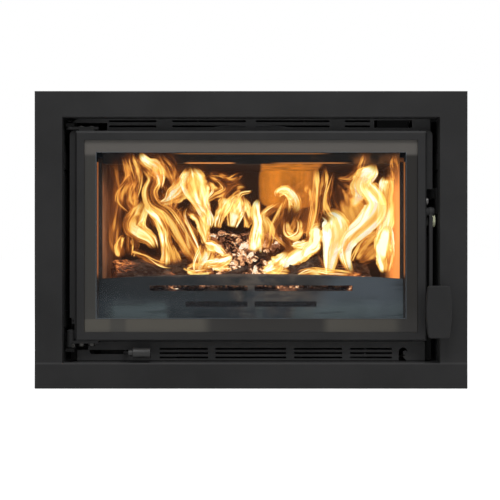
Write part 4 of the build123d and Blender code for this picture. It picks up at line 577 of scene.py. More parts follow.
def make_flame(settings):
    """A sheet of flame: frayed soft edges, bright strands along it and thin orange between."""
    shade = Shade("flame")
    across = shade.add("SeparateXYZ", {}, {0: shade.add("UVMap", {"uv_map": "flow"})})
    along = across.other("Y")
    heat = shade.add("Attribute", {"attribute_name": "vigour"}, (), "Fac")
    seed = shade.add("Attribute", {"attribute_name": "own_seed"}, (), "Fac")

    def sheet(wide, long, shift, detail, distortion=0.0):
        vector = shade.add("CombineXYZ", {}, {0: across * wide, 1: along * long, 2: seed + shift})
        return shade.grain(1.0, detail, vector, distortion=distortion)

    sway = sheet(0.8, 3.0, 0.0, 1.0) - 0.5
    fray = sheet(2.4, 8.0, 5.3, 2.5, 0.5) - 0.5
    depth = 1 - abs(across * 2.0 - 1.0 + sway * 0.8) + fray * 0.45
    billow = sheet(2.6, 1.7, 3.7, 2.0, 0.8).step(0.41, 0.64)
    lick = sheet(7.0, 2.4, 8.1, 2.5, 1.0).step(0.36, 0.66)
    floor = (heat - 0.85).most(0.0) * 0.60 + 0.09
    shape = depth.step(0.05, 0.28) * along.step(0.0, 0.12) * along.step(1.0, 0.70)
    rim = depth.step(0.10, 0.20) * depth.step(0.40, 0.24)
    power = depth.step(0.0, 0.55) * (billow * 0.62 + lick * 0.20 + floor) + rim * lick * 0.26
    power = power * (shape * 0.8 + 0.2) * (heat * 1.02)
    colour = shade.ramp(
        power, (0.03, (0.14, 0.030, 0.006)), (0.16, (0.30, 0.078, 0.013)), (0.30, (0.56, 0.18, 0.028)),
        (0.45, (0.78, 0.36, 0.062)), (0.60, (0.94, 0.57, 0.13)), (0.76, (1.0, 0.79, 0.26)),
        (0.92, (1.0, 0.94, 0.47)), (1.0, (1.0, 0.99, 0.74)))
    alpha = shape * power.step(-0.03, 0.48) * FLAME_COVER
    strength = settings.flame_strength * FLAME_LIGHT
    return shade.finish((0, 0, 0), 1.0, 0.0, alpha=alpha, light=colour, strength=strength)


# ================================ meshes ================================

MERGE = 1e-6


def link_new(name, data):
    """A new object in the scene."""
    made = bpy.data.objects.new(name, data)
    bpy.context.scene.collection.objects.link(made)
    return made


def to_mesh(bm, name, *materials):
    """Makes a bmesh a mesh, and frees it."""
    mesh = bpy.data.meshes.new(name)
    bm.to_mesh(mesh)
    bm.free()
    for material in materials:
        mesh.materials.append(material)
    return mesh


def cad_copy(node):
    """A merged bmesh copy of a CAD node's mesh."""
    bm = bmesh.new()
    bm.from_mesh(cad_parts[node].data)
    bmesh.ops.remove_doubles(bm, verts=bm.verts, dist=MERGE)
    return bm


def place_piece(bm, name, material, body="root", smooth=True):
    """Makes a bmesh an object that rides on a body."""
    piece = link_new(name, to_mesh(bm, name, material))
    for face in piece.data.polygons:
        face.use_smooth = smooth
    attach(piece, body)
    return piece


def append(bm, part, place):
    """Adds a small finished bmesh to a larger one at a place."""
    part.transform(place)
    mesh = to_mesh(part, "part")
    bm.from_mesh(mesh)
    bpy.data.meshes.remove(mesh)


def from_photo(px, py, y):
    """The point at a depth y that the photograph shows at a pixel."""
    far = 1 + (y - FACE_Y) / bpy.context.scene.insert_studio.camera_distance
    x = CAMERA_X + (px - PHOTO_MIDDLE_PX) * METRES_PER_PX * far
    z = CAMERA_Z + (PHOTO_MIDDLE_PX - py) * METRES_PER_PX * far
    return Vector((x, y, z))


def curve_point(points, share):
    """A point on the smooth curve through the points, each a tuple of numbers."""
    place = share * (len(points) - 1)
    index = min(int(place), len(points) - 2)
    t = place - index
    near = [points[max(0, min(len(points) - 1, index + step))] for step in (-1, 0, 1, 2)]
    out = []
    for a, b, c, d in zip(*near):
        out.append(b + 0.5 * t * (c - a + t * (2 * a - 5 * b + 4 * c - d + t * (3 * (b - c) + d - a))))
    return out


def carve(node, voxel, shape):
    """A fine copy of a CAD node, each of its points moved along its normal by shape(point, normal)."""
    holder = link_new(node + "_holder", to_mesh(cad_copy(node), node + "_rough"))
    remesh = holder.modifiers.new("grid", "REMESH")
    remesh.mode, remesh.voxel_size = "VOXEL", voxel
    bpy.context.view_layer.update()
    fine = bpy.data.meshes.new_from_object(holder.evaluated_get(bpy.context.evaluated_depsgraph_get()))
    bpy.data.objects.remove(holder)
    bm = bmesh.new()
    bm.from_mesh(fine)
    bmesh.ops.smooth_vert(bm, verts=bm.verts, factor=0.5, use_axis_x=True, use_axis_y=True, use_axis_z=True)
    bm.normal_update()
    for vertex in bm.verts:
        vertex.co += vertex.normal * shape(vertex.co, vertex.normal)
    return bm


# ================================ fuel ================================

LOG_RUNS = {
    "log_back": (Vector((-0.185, 0.262, 0)), Vector((0.180, 0.250, 0))),
    "log_left": (Vector((-0.269, 0.098, 0)), Vector((-0.130, 0.146, 0))),
    "log_right": (Vector((0.070, 0.118, 0)), Vector((0.232, 0.160, 0))),
    "log_top": (Vector((-0.150, 0.238, 0)), Vector((0.060, 0.260, 0))),
}
LOG_VOXEL, HEAP_VOXEL = 0.0026, 0.004
LEFT_LOG_RISE = 0.008
LOG_SINK, FURROW_DEPTH, LUMP_DEPTH, CRACK_DEPTH = 0.0022, 0.0016, 0.0026, 0.0022
CRACK_WIDTH = 0.16                      # as a share of a burnt block
BED_SINK, BED_LUMP, BED_STONE = 0.004, 0.006, 0.004
HEAP_SINK, HEAP_LUMP = 0.006, 0.004
CHUNK_BEVEL, CHUNK_JITTER = 0.16, 0.045  # as shares of a piece's size
BED_REACH_X, BED_Y, BED_RISE = 0.245, (0.072, 0.13), 0.006  # where pieces lie loose on the bed


def log_shape(run, seed, rise):
    """How deep the bark, the split sides and the burnt blocks go at each point of a log."""
    along = (run[1] - run[0]).normalized()
    shift = Vector((seed * 7.3, seed * 3.1, seed * 5.7))

    def shape(point, normal):
        distance = (point - run[0]).dot(along)
        across = point - along * distance
        furrow = noise.fractal(Vector((distance * 9, across.y * 60, across.z * 60)) + shift, 0.8, 2.0, 4)
        lump = noise.noise(Vector((distance * 22, across.y * 26, across.z * 26)) + shift)
        gaps = noise.voronoi(Vector((distance * 60, across.y * 85, across.z * 85)) + shift)[0]
        crack = max(0.0, 1 - (gaps[1] - gaps[0]) / CRACK_WIDTH)
        raised = rise * max(normal.z, 0) - LOG_SINK + furrow * FURROW_DEPTH + lump * LUMP_DEPTH
        return raised - crack * CRACK_DEPTH
    return shape


def bed_shape(point, _normal):
    """Rough lumps over the ember bed."""
    lump = noise.fractal(point * 30, 0.7, 2.1, 4)
    stone = noise.voronoi(point * 75)[0]
    return -BED_SINK + lump * BED_LUMP + (stone[1] - stone[0] - 0.35) * BED_STONE


def scatter(rng):
    """A vector of three random numbers about nought."""
    return Vector((rng.gauss(0, 1), rng.gauss(0, 1), rng.gauss(0, 1)))


def add_chunk(bm, place, size, rng, seed_layer):
    """One blocky piece of charcoal, its edges and corners taken in an order that is the same in every run."""
    made = bmesh.ops.create_cube(bm, size=1.0)["verts"]
    edges = list(dict.fromkeys(edge for vertex in made for edge in vertex.link_edges))
    bevelled = bmesh.ops.bevel(
        bm, geom=edges, offset=CHUNK_BEVEL, offset_type="OFFSET", segments=1, profile=0.5, affect="EDGES",
        material=-1)["faces"]
    corners = [v for face in bevelled for v in face.verts] + [v for v in made if v.is_valid]
    verts = list(dict.fromkeys(corners))
    turn = Matrix.Rotation(rng.uniform(0, 6.3), 4, scatter(rng))
    grow = Matrix.Diagonal(
        (size * rng.uniform(0.7, 1.4), size * rng.uniform(0.6, 1.1), size * rng.uniform(0.6, 1), 1))
    own = rng.random()
    for vertex in verts:
        vertex[seed_layer] = own
        vertex.co = grow @ vertex.co + scatter(rng) * size * CHUNK_JITTER
    bmesh.ops.transform(bm, matrix=Matrix.Translation(place) @ turn, verts=verts)


def heap_shape(point, _normal):
    """The heap's hidden core, drawn in a little so that the loose pieces cover it."""
    return -HEAP_SINK + noise.fractal(point * 40, 0.7, 2.1, 3) * HEAP_LUMP


def heap_place(rng):
    """A place on the skin of the heap's solid, or just under it, for one piece of charcoal."""
    low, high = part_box("charcoal_heap")
    middle, reach = (low + high) / 2, (high - low) / 2
    turn, rise = rng.uniform(0, 2 * math.pi), rng.random() ** 1.2
    spread = 1 - 0.6 * rise
    spread *= 1 - 0.12 * rng.random() if rise < 0.9 else math.sqrt(rng.random())
    return Vector((
        middle.x + reach.x * spread * math.cos(turn), middle.y + reach.y * spread * math.sin(turn),
        low.z + (high.z - low.z) * rise))


def log_block_place(rng):
    """A place on the front or crown of the top log, where its wood has burnt to blocks."""
    start, end = LOG_RUNS["log_top"]
    low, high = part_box("log_top")
    spot = start.lerp(end, rng.uniform(0.3, 0.98))
    radius = (high.z - low.z) * 0.55
    turn = rng.uniform(-0.1, 1.9)
    return Vector((spot.x, spot.y - radius * math.cos(turn), high.z - radius + radius * math.sin(turn)))


def add_brand(bm, start, end, radius, rng):
    """One short burning branch between two places, a little bent and knotted."""
    brand = bmesh.new()
    bmesh.ops.create_cone(brand, cap_ends=True, segments=14, radius1=radius, radius2=radius * 0.7, depth=1.0)
    sides = [edge for edge in brand.edges if abs(edge.verts[0].co.z - edge.verts[1].co.z) > 0.5]
    bmesh.ops.subdivide_edges(brand, edges=sides, cuts=9)
    shift = Vector((rng.random(), rng.random(), rng.random())) * 9
    for vertex in brand.verts:
        lump = noise.noise(Vector((vertex.co.x * 70, vertex.co.y * 70, vertex.co.z * 5)) + shift)
        vertex.co.x *= 1 + lump * 0.35
        vertex.co.y *= 1 + lump * 0.35
        vertex.co.x += radius * 0.5 * math.sin(vertex.co.z * 4)
    run = end - start
    turn = run.to_track_quat("Z", "Y").to_matrix().to_4x4()
    append(bm, brand, Matrix.Translation((start + end) / 2) @ turn @ Matrix.Diagonal((1, 1, run.length, 1)))


# The burning branches: both ends and the radius of each.
BRANDS = (
    (Vector((0.072, 0.078, 0.196)), Vector((0.136, 0.092, 0.240)), 0.0115),
    (Vector((-0.060, 0.100, 0.200)), Vector((-0.006, 0.104, 0.222)), 0.008),
    (Vector((0.176, 0.084, 0.193)), Vector((0.235, 0.096, 0.200)), 0.009),
    (Vector((0.010, 0.128, 0.252)), Vector((0.058, 0.132, 0.226)), 0.007),
)


class INSERT_OT_fuel(bpy.types.Operator):
    """Burning logs, the bed of embers and the heap of charcoal"""
    bl_idname = "insert.fuel"
    bl_label = "Fuel"

    def execute(self, context):
        settings = context.scene.insert_fire
        wood = make_charred_wood(settings)
        embers = make_embers(settings)
        for seed, (node, run) in enumerate(LOG_RUNS.items()):
            shape = log_shape(run, seed, LEFT_LOG_RISE if node == "log_left" else 0.0)
            piece = place_piece(carve(node, LOG_VOXEL, shape), "burnt_" + node, wood)
            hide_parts(node)
        bed = place_piece(carve("ember_bed", HEAP_VOXEL, bed_shape), "glowing_bed", embers)
        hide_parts("ember_bed")
        core = place_piece(carve("charcoal_heap", HEAP_VOXEL, heap_shape), "heap_core", embers)
        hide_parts("charcoal_heap")
        rng = random.Random(11)
        bm = bmesh.new()
        own = bm.verts.layers.float.new("own_seed")
        for _ in range(settings.chunk_count):
            add_chunk(bm, heap_place(rng), settings.chunk_size * rng.uniform(0.75, 1.4), rng, own)
        for _ in range(settings.chunk_count):
            place = Vector((
                rng.uniform(-BED_REACH_X, BED_REACH_X), rng.uniform(*BED_Y), BED_TOP + rng.uniform(0, BED_RISE)))
            add_chunk(bm, place, settings.chunk_size * rng.uniform(0.4, 0.9), rng, own)
        for _ in range(settings.chunk_count // 2):
            add_chunk(bm, log_block_place(rng), settings.chunk_size * rng.uniform(0.8, 1.3), rng, own)
        place_piece(bm, "loose_charcoal", embers, smooth=False)
        bm = bmesh.new()
        for start, end, radius in BRANDS:
            add_brand(bm, start, end, radius, rng)
        place_piece(bm, "burning_brands", wood)
        return {"FINISHED"}


# ================================ fire ================================
# The flames of each group. A row is one flame: its depth in metres, its heat, and its course from its root up to
# its tip as the photograph's pixels across and down and half its width in pixels.

FLAMES = {
    "left": (
        (0.100, 0.46, (122, 260, 8), (119, 238, 11), (121, 216, 12), (124, 194, 12), (122, 172, 11),
         (118, 152, 9)),
        (0.095, 0.56, (136, 216, 4), (128, 204, 10), (129, 190, 12), (134, 176, 9), (128, 163, 5),
         (124, 153, 3)),
        (0.078, 1.05, (156, 250, 3), (149, 239, 7), (139, 232, 10), (133, 226, 10), (138, 215, 9),
         (143, 205, 6), (145, 195, 2)),
        (0.072, 1.10, (171, 267, 12), (169, 254, 8), (166, 241, 6), (164, 229, 7), (159, 218, 7), (151, 210, 6),
         (146, 201, 3)),
        (0.105, 0.88, (199, 264, 5), (190, 250, 8), (182, 236, 9), (174, 221, 9), (165, 210, 9), (153, 203, 8),
         (150, 191, 7), (154, 180, 7), (152, 170, 8), (144, 161, 7), (140, 152, 4)),
        (0.082, 1.12, (160, 190, 2), (160, 178, 5), (154, 168, 8), (147, 163, 6), (142, 157, 5), (139, 152, 3)),
        (0.104, 0.50, (170, 212, 6), (170, 194, 12), (166, 178, 15), (160, 164, 14), (152, 152, 10)),
        (0.099, 0.72, (134, 200, 2), (137, 184, 4), (136, 170, 5), (132, 160, 4), (131, 151, 2)),
        (0.075, 0.80, (118, 258, 2), (118, 247, 4), (121, 239, 4), (125, 236, 2)),
        (0.075, 0.72, (133, 257, 2), (135, 246, 4), (132, 237, 2)),
        (0.070, 0.85, (130, 251, 1.5), (143, 257, 3), (158, 263, 3), (172, 267, 2)),
    ),
    "arch": (
        (0.088, 0.95, (200, 264, 5), (194, 247, 8), (187, 230, 8), (182, 216, 6), (187, 207, 4)),
        (0.086, 1.00, (207, 246, 3), (204, 232, 6), (201, 219, 8), (194, 210, 8), (185, 206, 4)),
    ),
    "crown": (
        (0.108, 0.98, (160, 203, 3), (170, 199, 6), (179, 192, 10), (187, 183, 12), (191, 173, 8),
         (190, 166, 2)),
        (0.092, 1.20, (208, 226, 2), (206, 215, 5), (202, 205, 8), (198, 194, 12), (195, 182, 13),
         (192, 172, 8), (190, 165, 2)),
        (0.084, 1.15, (209, 229, 1.5), (208, 220, 5), (205, 210, 5), (203, 199, 5), (206, 188, 6),
         (204, 179, 4)),
        (0.120, 0.78, (204, 201, 2), (212, 194, 6), (219, 188, 9), (213, 181, 7), (204, 176, 4)),
    ),
    "leaf": (
        (0.150, 0.86, (222, 217, 4), (228, 204, 9), (233, 196, 10), (240, 191, 8), (250, 189, 2)),
        (0.170, 0.56, (208, 174, 2), (218, 177, 6), (229, 180, 5), (238, 176, 4), (243, 174, 1)),
    ),
    "middle": (
        (0.130, 1.05, (217, 229, 3), (220, 217, 6), (226, 205, 8), (231, 196, 5)),
        (0.125, 1.05, (232, 228, 4), (234, 216, 8), (238, 204, 8), (240, 194, 3)),
        (0.128, 0.92, (246, 229, 2.5), (248, 219, 4.5), (246, 207, 5.5), (242, 197, 3)),
    ),
    "low": (
        (0.070, 1.02, (198, 272, 4), (202, 262, 8), (206, 251, 9), (205, 242, 4)),
        (0.072, 1.15, (204, 243, 2), (213, 246, 6), (221, 252, 4), (228, 257, 1)),
        (0.068, 0.92, (186, 271, 4), (200, 270, 8), (216, 271, 4)),
        (0.066, 1.20, (206, 264, 3), (217, 263, 6), (226, 259, 5), (233, 254, 1.5)),
        (0.066, 1.10, (212, 267, 2), (223, 268, 3.5), (232, 270, 1)),
    ),
    "centre": (
        (0.082, 1.30, (257, 253, 7), (256, 240, 7), (257, 226, 5.5), (256, 214, 5), (257, 204, 4),
         (260, 199, 1)),
        (0.095, 0.92, (263, 253, 4), (266, 240, 8), (267, 228, 7), (263, 217, 5), (269, 211, 5), (278, 205, 4),
         (288, 201, 1.5)),
    ),
    "knot": (
        (0.104, 0.70, (297, 249, 9), (290, 233, 17), (296, 216, 19), (300, 200, 15), (304, 187, 9),
         (310, 178, 2)),
        (0.085, 0.98, (278, 199, 2), (279, 193, 5), (286, 191, 6), (293, 197, 6), (296, 206, 6), (291, 214, 4)),
        (0.080, 0.90, (286, 220, 2), (287, 231, 4), (293, 237, 5), (300, 233, 4), (301, 223, 4), (296, 216, 2)),
        (0.088, 0.84, (308, 242, 3), (312, 226, 6), (316, 207, 7), (317, 190, 6), (316, 175, 4),
         (316, 163, 1.5)),
    ),
    "thin": (
        (0.100, 0.76, (323, 216, 2), (320, 201, 4), (324, 182, 4), (324, 164, 1.5)),
        (0.104, 0.66, (333, 218, 1.5), (327, 206, 3.5), (330, 186, 3), (335, 168, 1)),
    ),
    "white": (
        (0.070, 1.45, (329, 276, 4), (330, 264, 6), (332, 252, 9), (336, 239, 14), (335, 226, 13),
         (331, 218, 9), (322, 216, 3)),
        (0.074, 1.30, (303, 259, 3), (308, 251, 6), (314, 245, 7), (316, 237, 6), (317, 228, 6), (323, 224, 2)),
        (0.076, 1.20, (292, 246, 2), (302, 245, 5), (312, 241, 3)),
        (0.125, 1.25, (281, 266, 4), (292, 259, 8), (303, 252, 8), (313, 246, 3)),
        (0.068, 1.25, (264, 272, 4), (273, 267, 8), (281, 259, 6), (289, 251, 2)),
    ),
    "long": (
        (0.080, 1.30, (352, 276, 3), (347, 262, 5), (346, 248, 7), (353, 236, 10), (364, 225, 12),
         (374, 214, 13), (377, 203, 12), (371, 193, 11), (366, 184, 9), (369, 172, 6), (367, 154, 2)),
    ),
    "right": (
        (0.090, 1.15, (378, 244, 3), (385, 227, 8), (388, 211, 9), (388, 197, 9), (389, 185, 8), (388, 178, 6),
         (386, 174, 1.5)),
        (0.098, 1.05, (350, 208, 2), (357, 197, 8), (358, 185, 10), (365, 177, 10), (372, 169, 6),
         (374, 162, 2)),
        (0.102, 0.66, (336, 178, 1.5), (348, 179, 3), (357, 171, 4), (363, 160, 3), (365, 152, 1.5)),
        (0.106, 0.52, (355, 232, 8), (353, 216, 17), (347, 202, 20), (341, 190, 15), (334, 181, 5)),
        (0.074, 1.15, (384, 274, 4), (384, 260, 8), (384, 246, 9), (386, 232, 7), (387, 219, 1.5)),
        (0.084, 0.66, (356, 262, 6), (366, 252, 13), (376, 242, 14), (383, 232, 8), (387, 222, 2)),
        (0.078, 0.60, (391, 272, 2), (391, 256, 3), (389, 240, 3), (391, 228, 1)),
        (0.100, 0.50, (396, 190, 2), (395, 176, 4), (394, 164, 4), (396, 152, 2)),
    ),
    "hearth": (
        (0.066, 1.00, (296, 274, 3), (311, 272, 5), (327, 274, 5), (344, 274, 4), (356, 275, 1.5)),
        (0.066, 0.90, (262, 274, 2), (277, 272, 4), (292, 273, 2)),
    ),
}
FLAME_ACROSS, FLAME_ALONG = 8, 44
FLAME_WIDEN = 1.26
FLAME_SWAY = 0.012                          # how far a sheet sways in depth, in metres
FLAME_BOW = 0.7                             # how far its middle comes forward, as a share of half its width
FLAME_FRONT_Y = 0.045
FLAME_REACH_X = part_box("side_bricks")[1].x - 0.029
FLAME_TOP_Z = 0.4435
LEAN_LOW_Z, LEAN_HIGH_Z = 0.385, 0.415      # where the tips start to lean towards the glass and end leaning
LEAN_Y, LEAN_SPREAD = -0.007, 0.012
STRAND_AHEAD, STRAND_HEAT = 0.005, 1.15
HALO_BEHIND, HALO_HEAT, HALO_WIDEN = 0.006, 0.24, 1.15
SEED_STEP, STRAND_SEED, HALO_SEED = 1.37, 0.4, 0.8


def strand_course(course, rng):
    """A thin strand near one edge of a flame's course."""
    shift = rng.choice((-1, 1)) * rng.uniform(0.5, 1.0)
    return tuple(
        (px + half * shift + rng.gauss(0, 0.10 * half), py + rng.gauss(0, 1.2), half * rng.uniform(0.14, 0.26))
        for px, py, half in course)


def halo_course(course, rng):
    """The wide thin glow round a flame's course, reaching past its tip."""
    return tuple(
        (px + rng.gauss(0, 1.5), py - 5 * index / len(course), half * HALO_WIDEN + 2.5)
        for index, (px, py, half) in enumerate(course))


def add_flame(bm, course, depth, heat, seed, layers):
    """One curved sheet along a flame's course, its middle bowed towards the room."""
    heat_layer, seed_layer = layers
    made = bmesh.ops.create_grid(bm, x_segments=FLAME_ACROSS, y_segments=FLAME_ALONG, size=1.0, calc_uvs=True)
    for vertex in made["verts"]:
        across, share = vertex.co.x, (vertex.co.y + 1) / 2
        px, py, half = curve_point(course, share)
        ahead, behind = curve_point(course, min(1, share + 0.02)), curve_point(course, max(0, share - 0.02))
        run = Vector((ahead[0] - behind[0], ahead[1] - behind[1])).normalized()
        half = max(half, 0.2) * FLAME_WIDEN
        px, py = px - run.y * across * half, py + run.x * across * half
        y = depth + FLAME_SWAY * math.sin(seed * 2.1 + share * 3.0)
        y = max(y - (1 - across * across) * half * METRES_PER_PX * FLAME_BOW, FLAME_FRONT_Y)
        lean = min(max((from_photo(px, py, y).z - LEAN_LOW_Z) / (LEAN_HIGH_Z - LEAN_LOW_Z), 0), 1)
        y += (LEAN_Y + LEAN_SPREAD * (seed * 0.37 % 1) - y) * lean * lean * (3 - 2 * lean)
        spot = from_photo(px, py, y)
        vertex.co = (max(-FLAME_REACH_X, min(FLAME_REACH_X, spot.x)), y, min(spot.z, FLAME_TOP_Z))
        vertex[heat_layer], vertex[seed_layer] = heat, seed


class INSERT_OT_fire(bpy.types.Operator):
    """The flames over the fuel"""
    bl_idname = "insert.fire"
    bl_label = "Fire"

    def execute(self, context):
        flame = make_flame(context.scene.insert_fire)
        rng = random.Random(5)
        number = 0
        for name, flames in FLAMES.items():
            bm = bmesh.new()
            bm.loops.layers.uv.new("flow")
            layers = bm.verts.layers.float.new("vigour"), bm.verts.layers.float.new("own_seed")
            for depth, heat, *course in flames:
                strand, halo = strand_course(course, rng), halo_course(course, rng)
                add_flame(bm, course, depth, heat, number * SEED_STEP, layers)
                add_flame(bm, strand, depth - STRAND_AHEAD, heat * STRAND_HEAT, number + STRAND_SEED, layers)
                add_flame(bm, halo, depth + HALO_BEHIND, heat * HALO_HEAT, number + HALO_SEED, layers)
                number += 1
            place_piece(bm, "flames_" + name, flame)
        return {"FINISHED"}


# ================================ door rope and gasket ================================

ROPE_CORNER = 0.012
ROPE_AROUND, ROPE_ALONG = 14, 560
ROPE_BRAIDS, ROPE_SWELL = 210, 0.05
TAPE_FLAT, TAPE_BEVEL = 0.02, 0.0003


def ring_point(low, high, corner, share):
    """The point and outward direction at a share of the way round a rectangle with rounded corners."""
    wide, tall = high.x - low.x - 2 * corner, high.z - low.z - 2 * corner
    arc = math.pi * corner / 2
    left = share * 2 * (wide + tall + 2 * arc)
    spot, run, out = Vector((low.x + corner, 0, low.z)), Vector((1, 0, 0)), Vector((0, 0, -1))
    for length in (wide, tall, wide, tall):
        if left <= length:
            return spot + run * left, out
        left -= length
        spot += run * length
        if left <= arc:
            turn = left / corner
            aim = out * math.cos(turn) + run * math.sin(turn)
            return spot + (aim - out) * corner, aim
        left -= arc
        spot += (run - out) * corner
        run, out = -out, run
    return spot, out


def wind_rope(low, high, half_wide):
    """A braided rope laid round the ring between two corners, its section an ellipse."""
    bm = bmesh.new()
    made = bmesh.ops.create_grid(bm, x_segments=ROPE_AROUND, y_segments=ROPE_ALONG, size=1.0)
    middle_y, half_deep = (low.y + high.y) / 2, (high.y - low.y) / 2
    inset = Vector((half_wide, 0, half_wide))
    for vertex in made["verts"]:
        turn, share = (vertex.co.x + 1) * math.pi, ((vertex.co.y + 1) / 2) % 1.0
        spot, out = ring_point(low + inset, high - inset, ROPE_CORNER, share)
        twist = share * ROPE_BRAIDS * 2 * math.pi
        swell = 1 - ROPE_SWELL + ROPE_SWELL * math.sin(twist + 2 * turn) * math.sin(twist - 2 * turn)
        vertex.co = spot + out * (math.cos(turn) * half_wide * swell)
        vertex.co.y = middle_y + math.sin(turn) * half_deep * swell
    bmesh.ops.remove_doubles(bm, verts=bm.verts, dist=MERGE)
    bmesh.ops.recalc_face_normals(bm, faces=bm.faces)
    return bm


class INSERT_OT_rope(bpy.types.Operator):
    """The rope in the door's back and the tape under its glass"""
    bl_idname = "insert.rope"
    bl_label = "Door rope and gasket"

    def execute(self, context):
        rope = make_rope()
        low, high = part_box("door_rope_seal")
        piece = place_piece(wind_rope(low, high, context.scene.insert_finish.rope_width / 2),
                            "braided_rope", rope, "door")
        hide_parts("door_rope_seal")
        bm = cad_copy("glass_gasket")
        bmesh.ops.dissolve_limit(bm, angle_limit=TAPE_FLAT, verts=bm.verts, edges=bm.edges)
        bmesh.ops.bevel(
            bm, geom=list(bm.edges), offset=TAPE_BEVEL, segments=2, profile=0.5, affect="EDGES", material=-1)
        tape = place_piece(bm, "gasket_tape", rope, "door")
        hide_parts("glass_gasket")
        return {"FINISHED"}


# ================================ screws ================================

HEAD_SIDES = 24
HEAD_OUTLINE = (1, 0), (1, 0.45), (0.94, 0.78), (0.82, 0.95), (0.66, 1)  # shares of its radius and its height
STAR_POINTS, STAR_REACH, STAR_WAIST = 6, 0.5, 0.72
SOCKET_FLOOR = 0.2


def solids_of(node):
    """The points of each separate solid of a node."""
    bm = cad_copy(node)
    seen, solids = set(), []
    for first in bm.verts:
        if first.index in seen:
            continue
        seen.add(first.index)
        stack, points = [first], []
        while stack:
            vertex = stack.pop()
            points.append(vertex.co.copy())
            for edge in vertex.link_edges:
                other = edge.other_vert(vertex)
                if other.index not in seen:
                    seen.add(other.index)
                    stack.append(other)
        solids.append(points)
    bm.free()
    return solids


def make_screw(head_r, head_h, shank_r, shank_h):
    """A star-socket pan-head screw, its seat at the origin and its head up the Z axis."""
    bm = bmesh.new()
    outline = [(0, -shank_h), (shank_r, -shank_h), (shank_r, 0)]
    outline += [(head_r * wide, head_h * high) for wide, high in HEAD_OUTLINE]
    verts = [bm.verts.new((radius, 0, height)) for radius, height in outline]
    edges = [bm.edges.new(pair) for pair in zip(verts, verts[1:])]
    bmesh.ops.spin(bm, geom=verts + edges, cent=(0, 0, 0), axis=(0, 0, 1), angle=2 * math.pi, steps=HEAD_SIDES,
                   use_merge=True)
    bmesh.ops.remove_doubles(bm, verts=bm.verts, dist=MERGE)
    star = bmesh.ops.create_circle(bm, segments=2 * STAR_POINTS, radius=head_r * STAR_REACH)["verts"]
    for number, vertex in enumerate(star):
        vertex.co *= 1.0 if number % 2 else STAR_WAIST
        vertex.co.z = head_h
    bmesh.ops.bridge_loops(bm, edges=[edge for edge in bm.edges if len(edge.link_faces) < 2])
    rim = [edge for edge in bm.edges if edge.is_boundary]
    sunk = bmesh.ops.extrude_edge_only(bm, edges=rim)["geom"]
    for vertex in [part for part in sunk if isinstance(part, bmesh.types.BMVert)]:
        vertex.co.z = head_h * SOCKET_FLOOR
    bmesh.ops.holes_fill(bm, edges=[edge for edge in bm.edges if edge.is_boundary], sides=0)
    bmesh.ops.recalc_face_normals(bm, faces=bm.faces)
    return bm


def add_screw(bm, points):
    """A detailed screw in the place of a plain one."""
    low, high = (Vector(pick(point[axis] for point in points) for axis in range(3)) for pick in (min, max))
    size, middle = high - low, (low + high) / 2
    along = min(range(3), key=lambda axis: abs(size[(axis + 1) % 3] - size[(axis + 2) % 3]))
    head_r = size[(along + 1) % 3] / 2
    wide, narrow = [], []
    for point in points:
        away = point - middle
        away[along] = 0
        (wide if away.length > head_r * 0.9 else narrow).append((point[along], away.length))
    first, last = min(wide)[0], max(wide)[0]
    up = 1 if high[along] - last < first - low[along] else -1
    seat, crown = (first, high[along]) if up > 0 else (last, low[along])
    shank_r = min(max(radius for _, radius in narrow), head_r * 0.8) if narrow else head_r * 0.5
    aim = Vector(up if axis == along else 0 for axis in range(3))
    middle[along] = seat
    place = Matrix.Translation(middle) @ aim.to_track_quat("Z", "Y").to_matrix().to_4x4()
    shank_h = size[along] - abs(crown - seat)
    append(bm, make_screw(head_r, abs(crown - seat), shank_r, max(shank_h, 0.0005)), place)


class INSERT_OT_screws(bpy.types.Operator):
    """Star-socket heads on the small screws"""
    bl_idname = "insert.screws"
    bl_label = "Screws"

    def execute(self, context):
        zinc = make_steel("screw_zinc", (0.040, 0.039, 0.037), 0.42)
        bodies = {"casing_screws": "root", "retainer_screws": "door", "paddle_screws": "lever",
                  "hinge_bolts": "door"}
        for node, body in bodies.items():
            bm = bmesh.new()
            for points in solids_of(node):
                add_screw(bm, points)
            piece = place_piece(bm, "star_" + node, zinc, body, smooth=False)
            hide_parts(node)
        return {"FINISHED"}


# ================================ finishes on the solids ================================

BACK_MARGIN = 0.032
BACK_DISH = 0.010


class INSERT_OT_back(bpy.types.Operator):
    """The casing's back sheet, dished towards its middle along four creases that stiffen it"""
    bl_idname = "insert.back"
    bl_label = "Back sheet"

    def execute(self, context):
        low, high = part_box("casing_back")
        bm = bmesh.new()
        corners = [(x, high.y, z) for x, z in (
            (low.x, low.z), (low.x, high.z), (high.x, high.z), (high.x, low.z))]
        sheet = bm.faces.new([bm.verts.new(corner) for corner in corners])
        bmesh.ops.inset_region(bm, faces=[sheet], thickness=BACK_MARGIN, use_even_offset=True)
        bmesh.ops.poke(bm, faces=[sheet], offset=0)
        for vertex in bm.verts:
            if abs(vertex.co.x) < BACK_MARGIN:
                vertex.co.y -= BACK_DISH
        bmesh.ops.recalc_face_normals(bm, faces=bm.faces)
        if bm.faces[:][0].normal.y < 0:
            bmesh.ops.reverse_faces(bm, faces=bm.faces)
        bmesh.ops.solidify(bm, geom=bm.faces, thickness=high.y - low.y)
        coat = bpy.data.materials["casing_coat"]
        piece = place_piece(bm, "dished_back", coat, "root", smooth=False)
        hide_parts("casing_back")
        return {"FINISHED"}


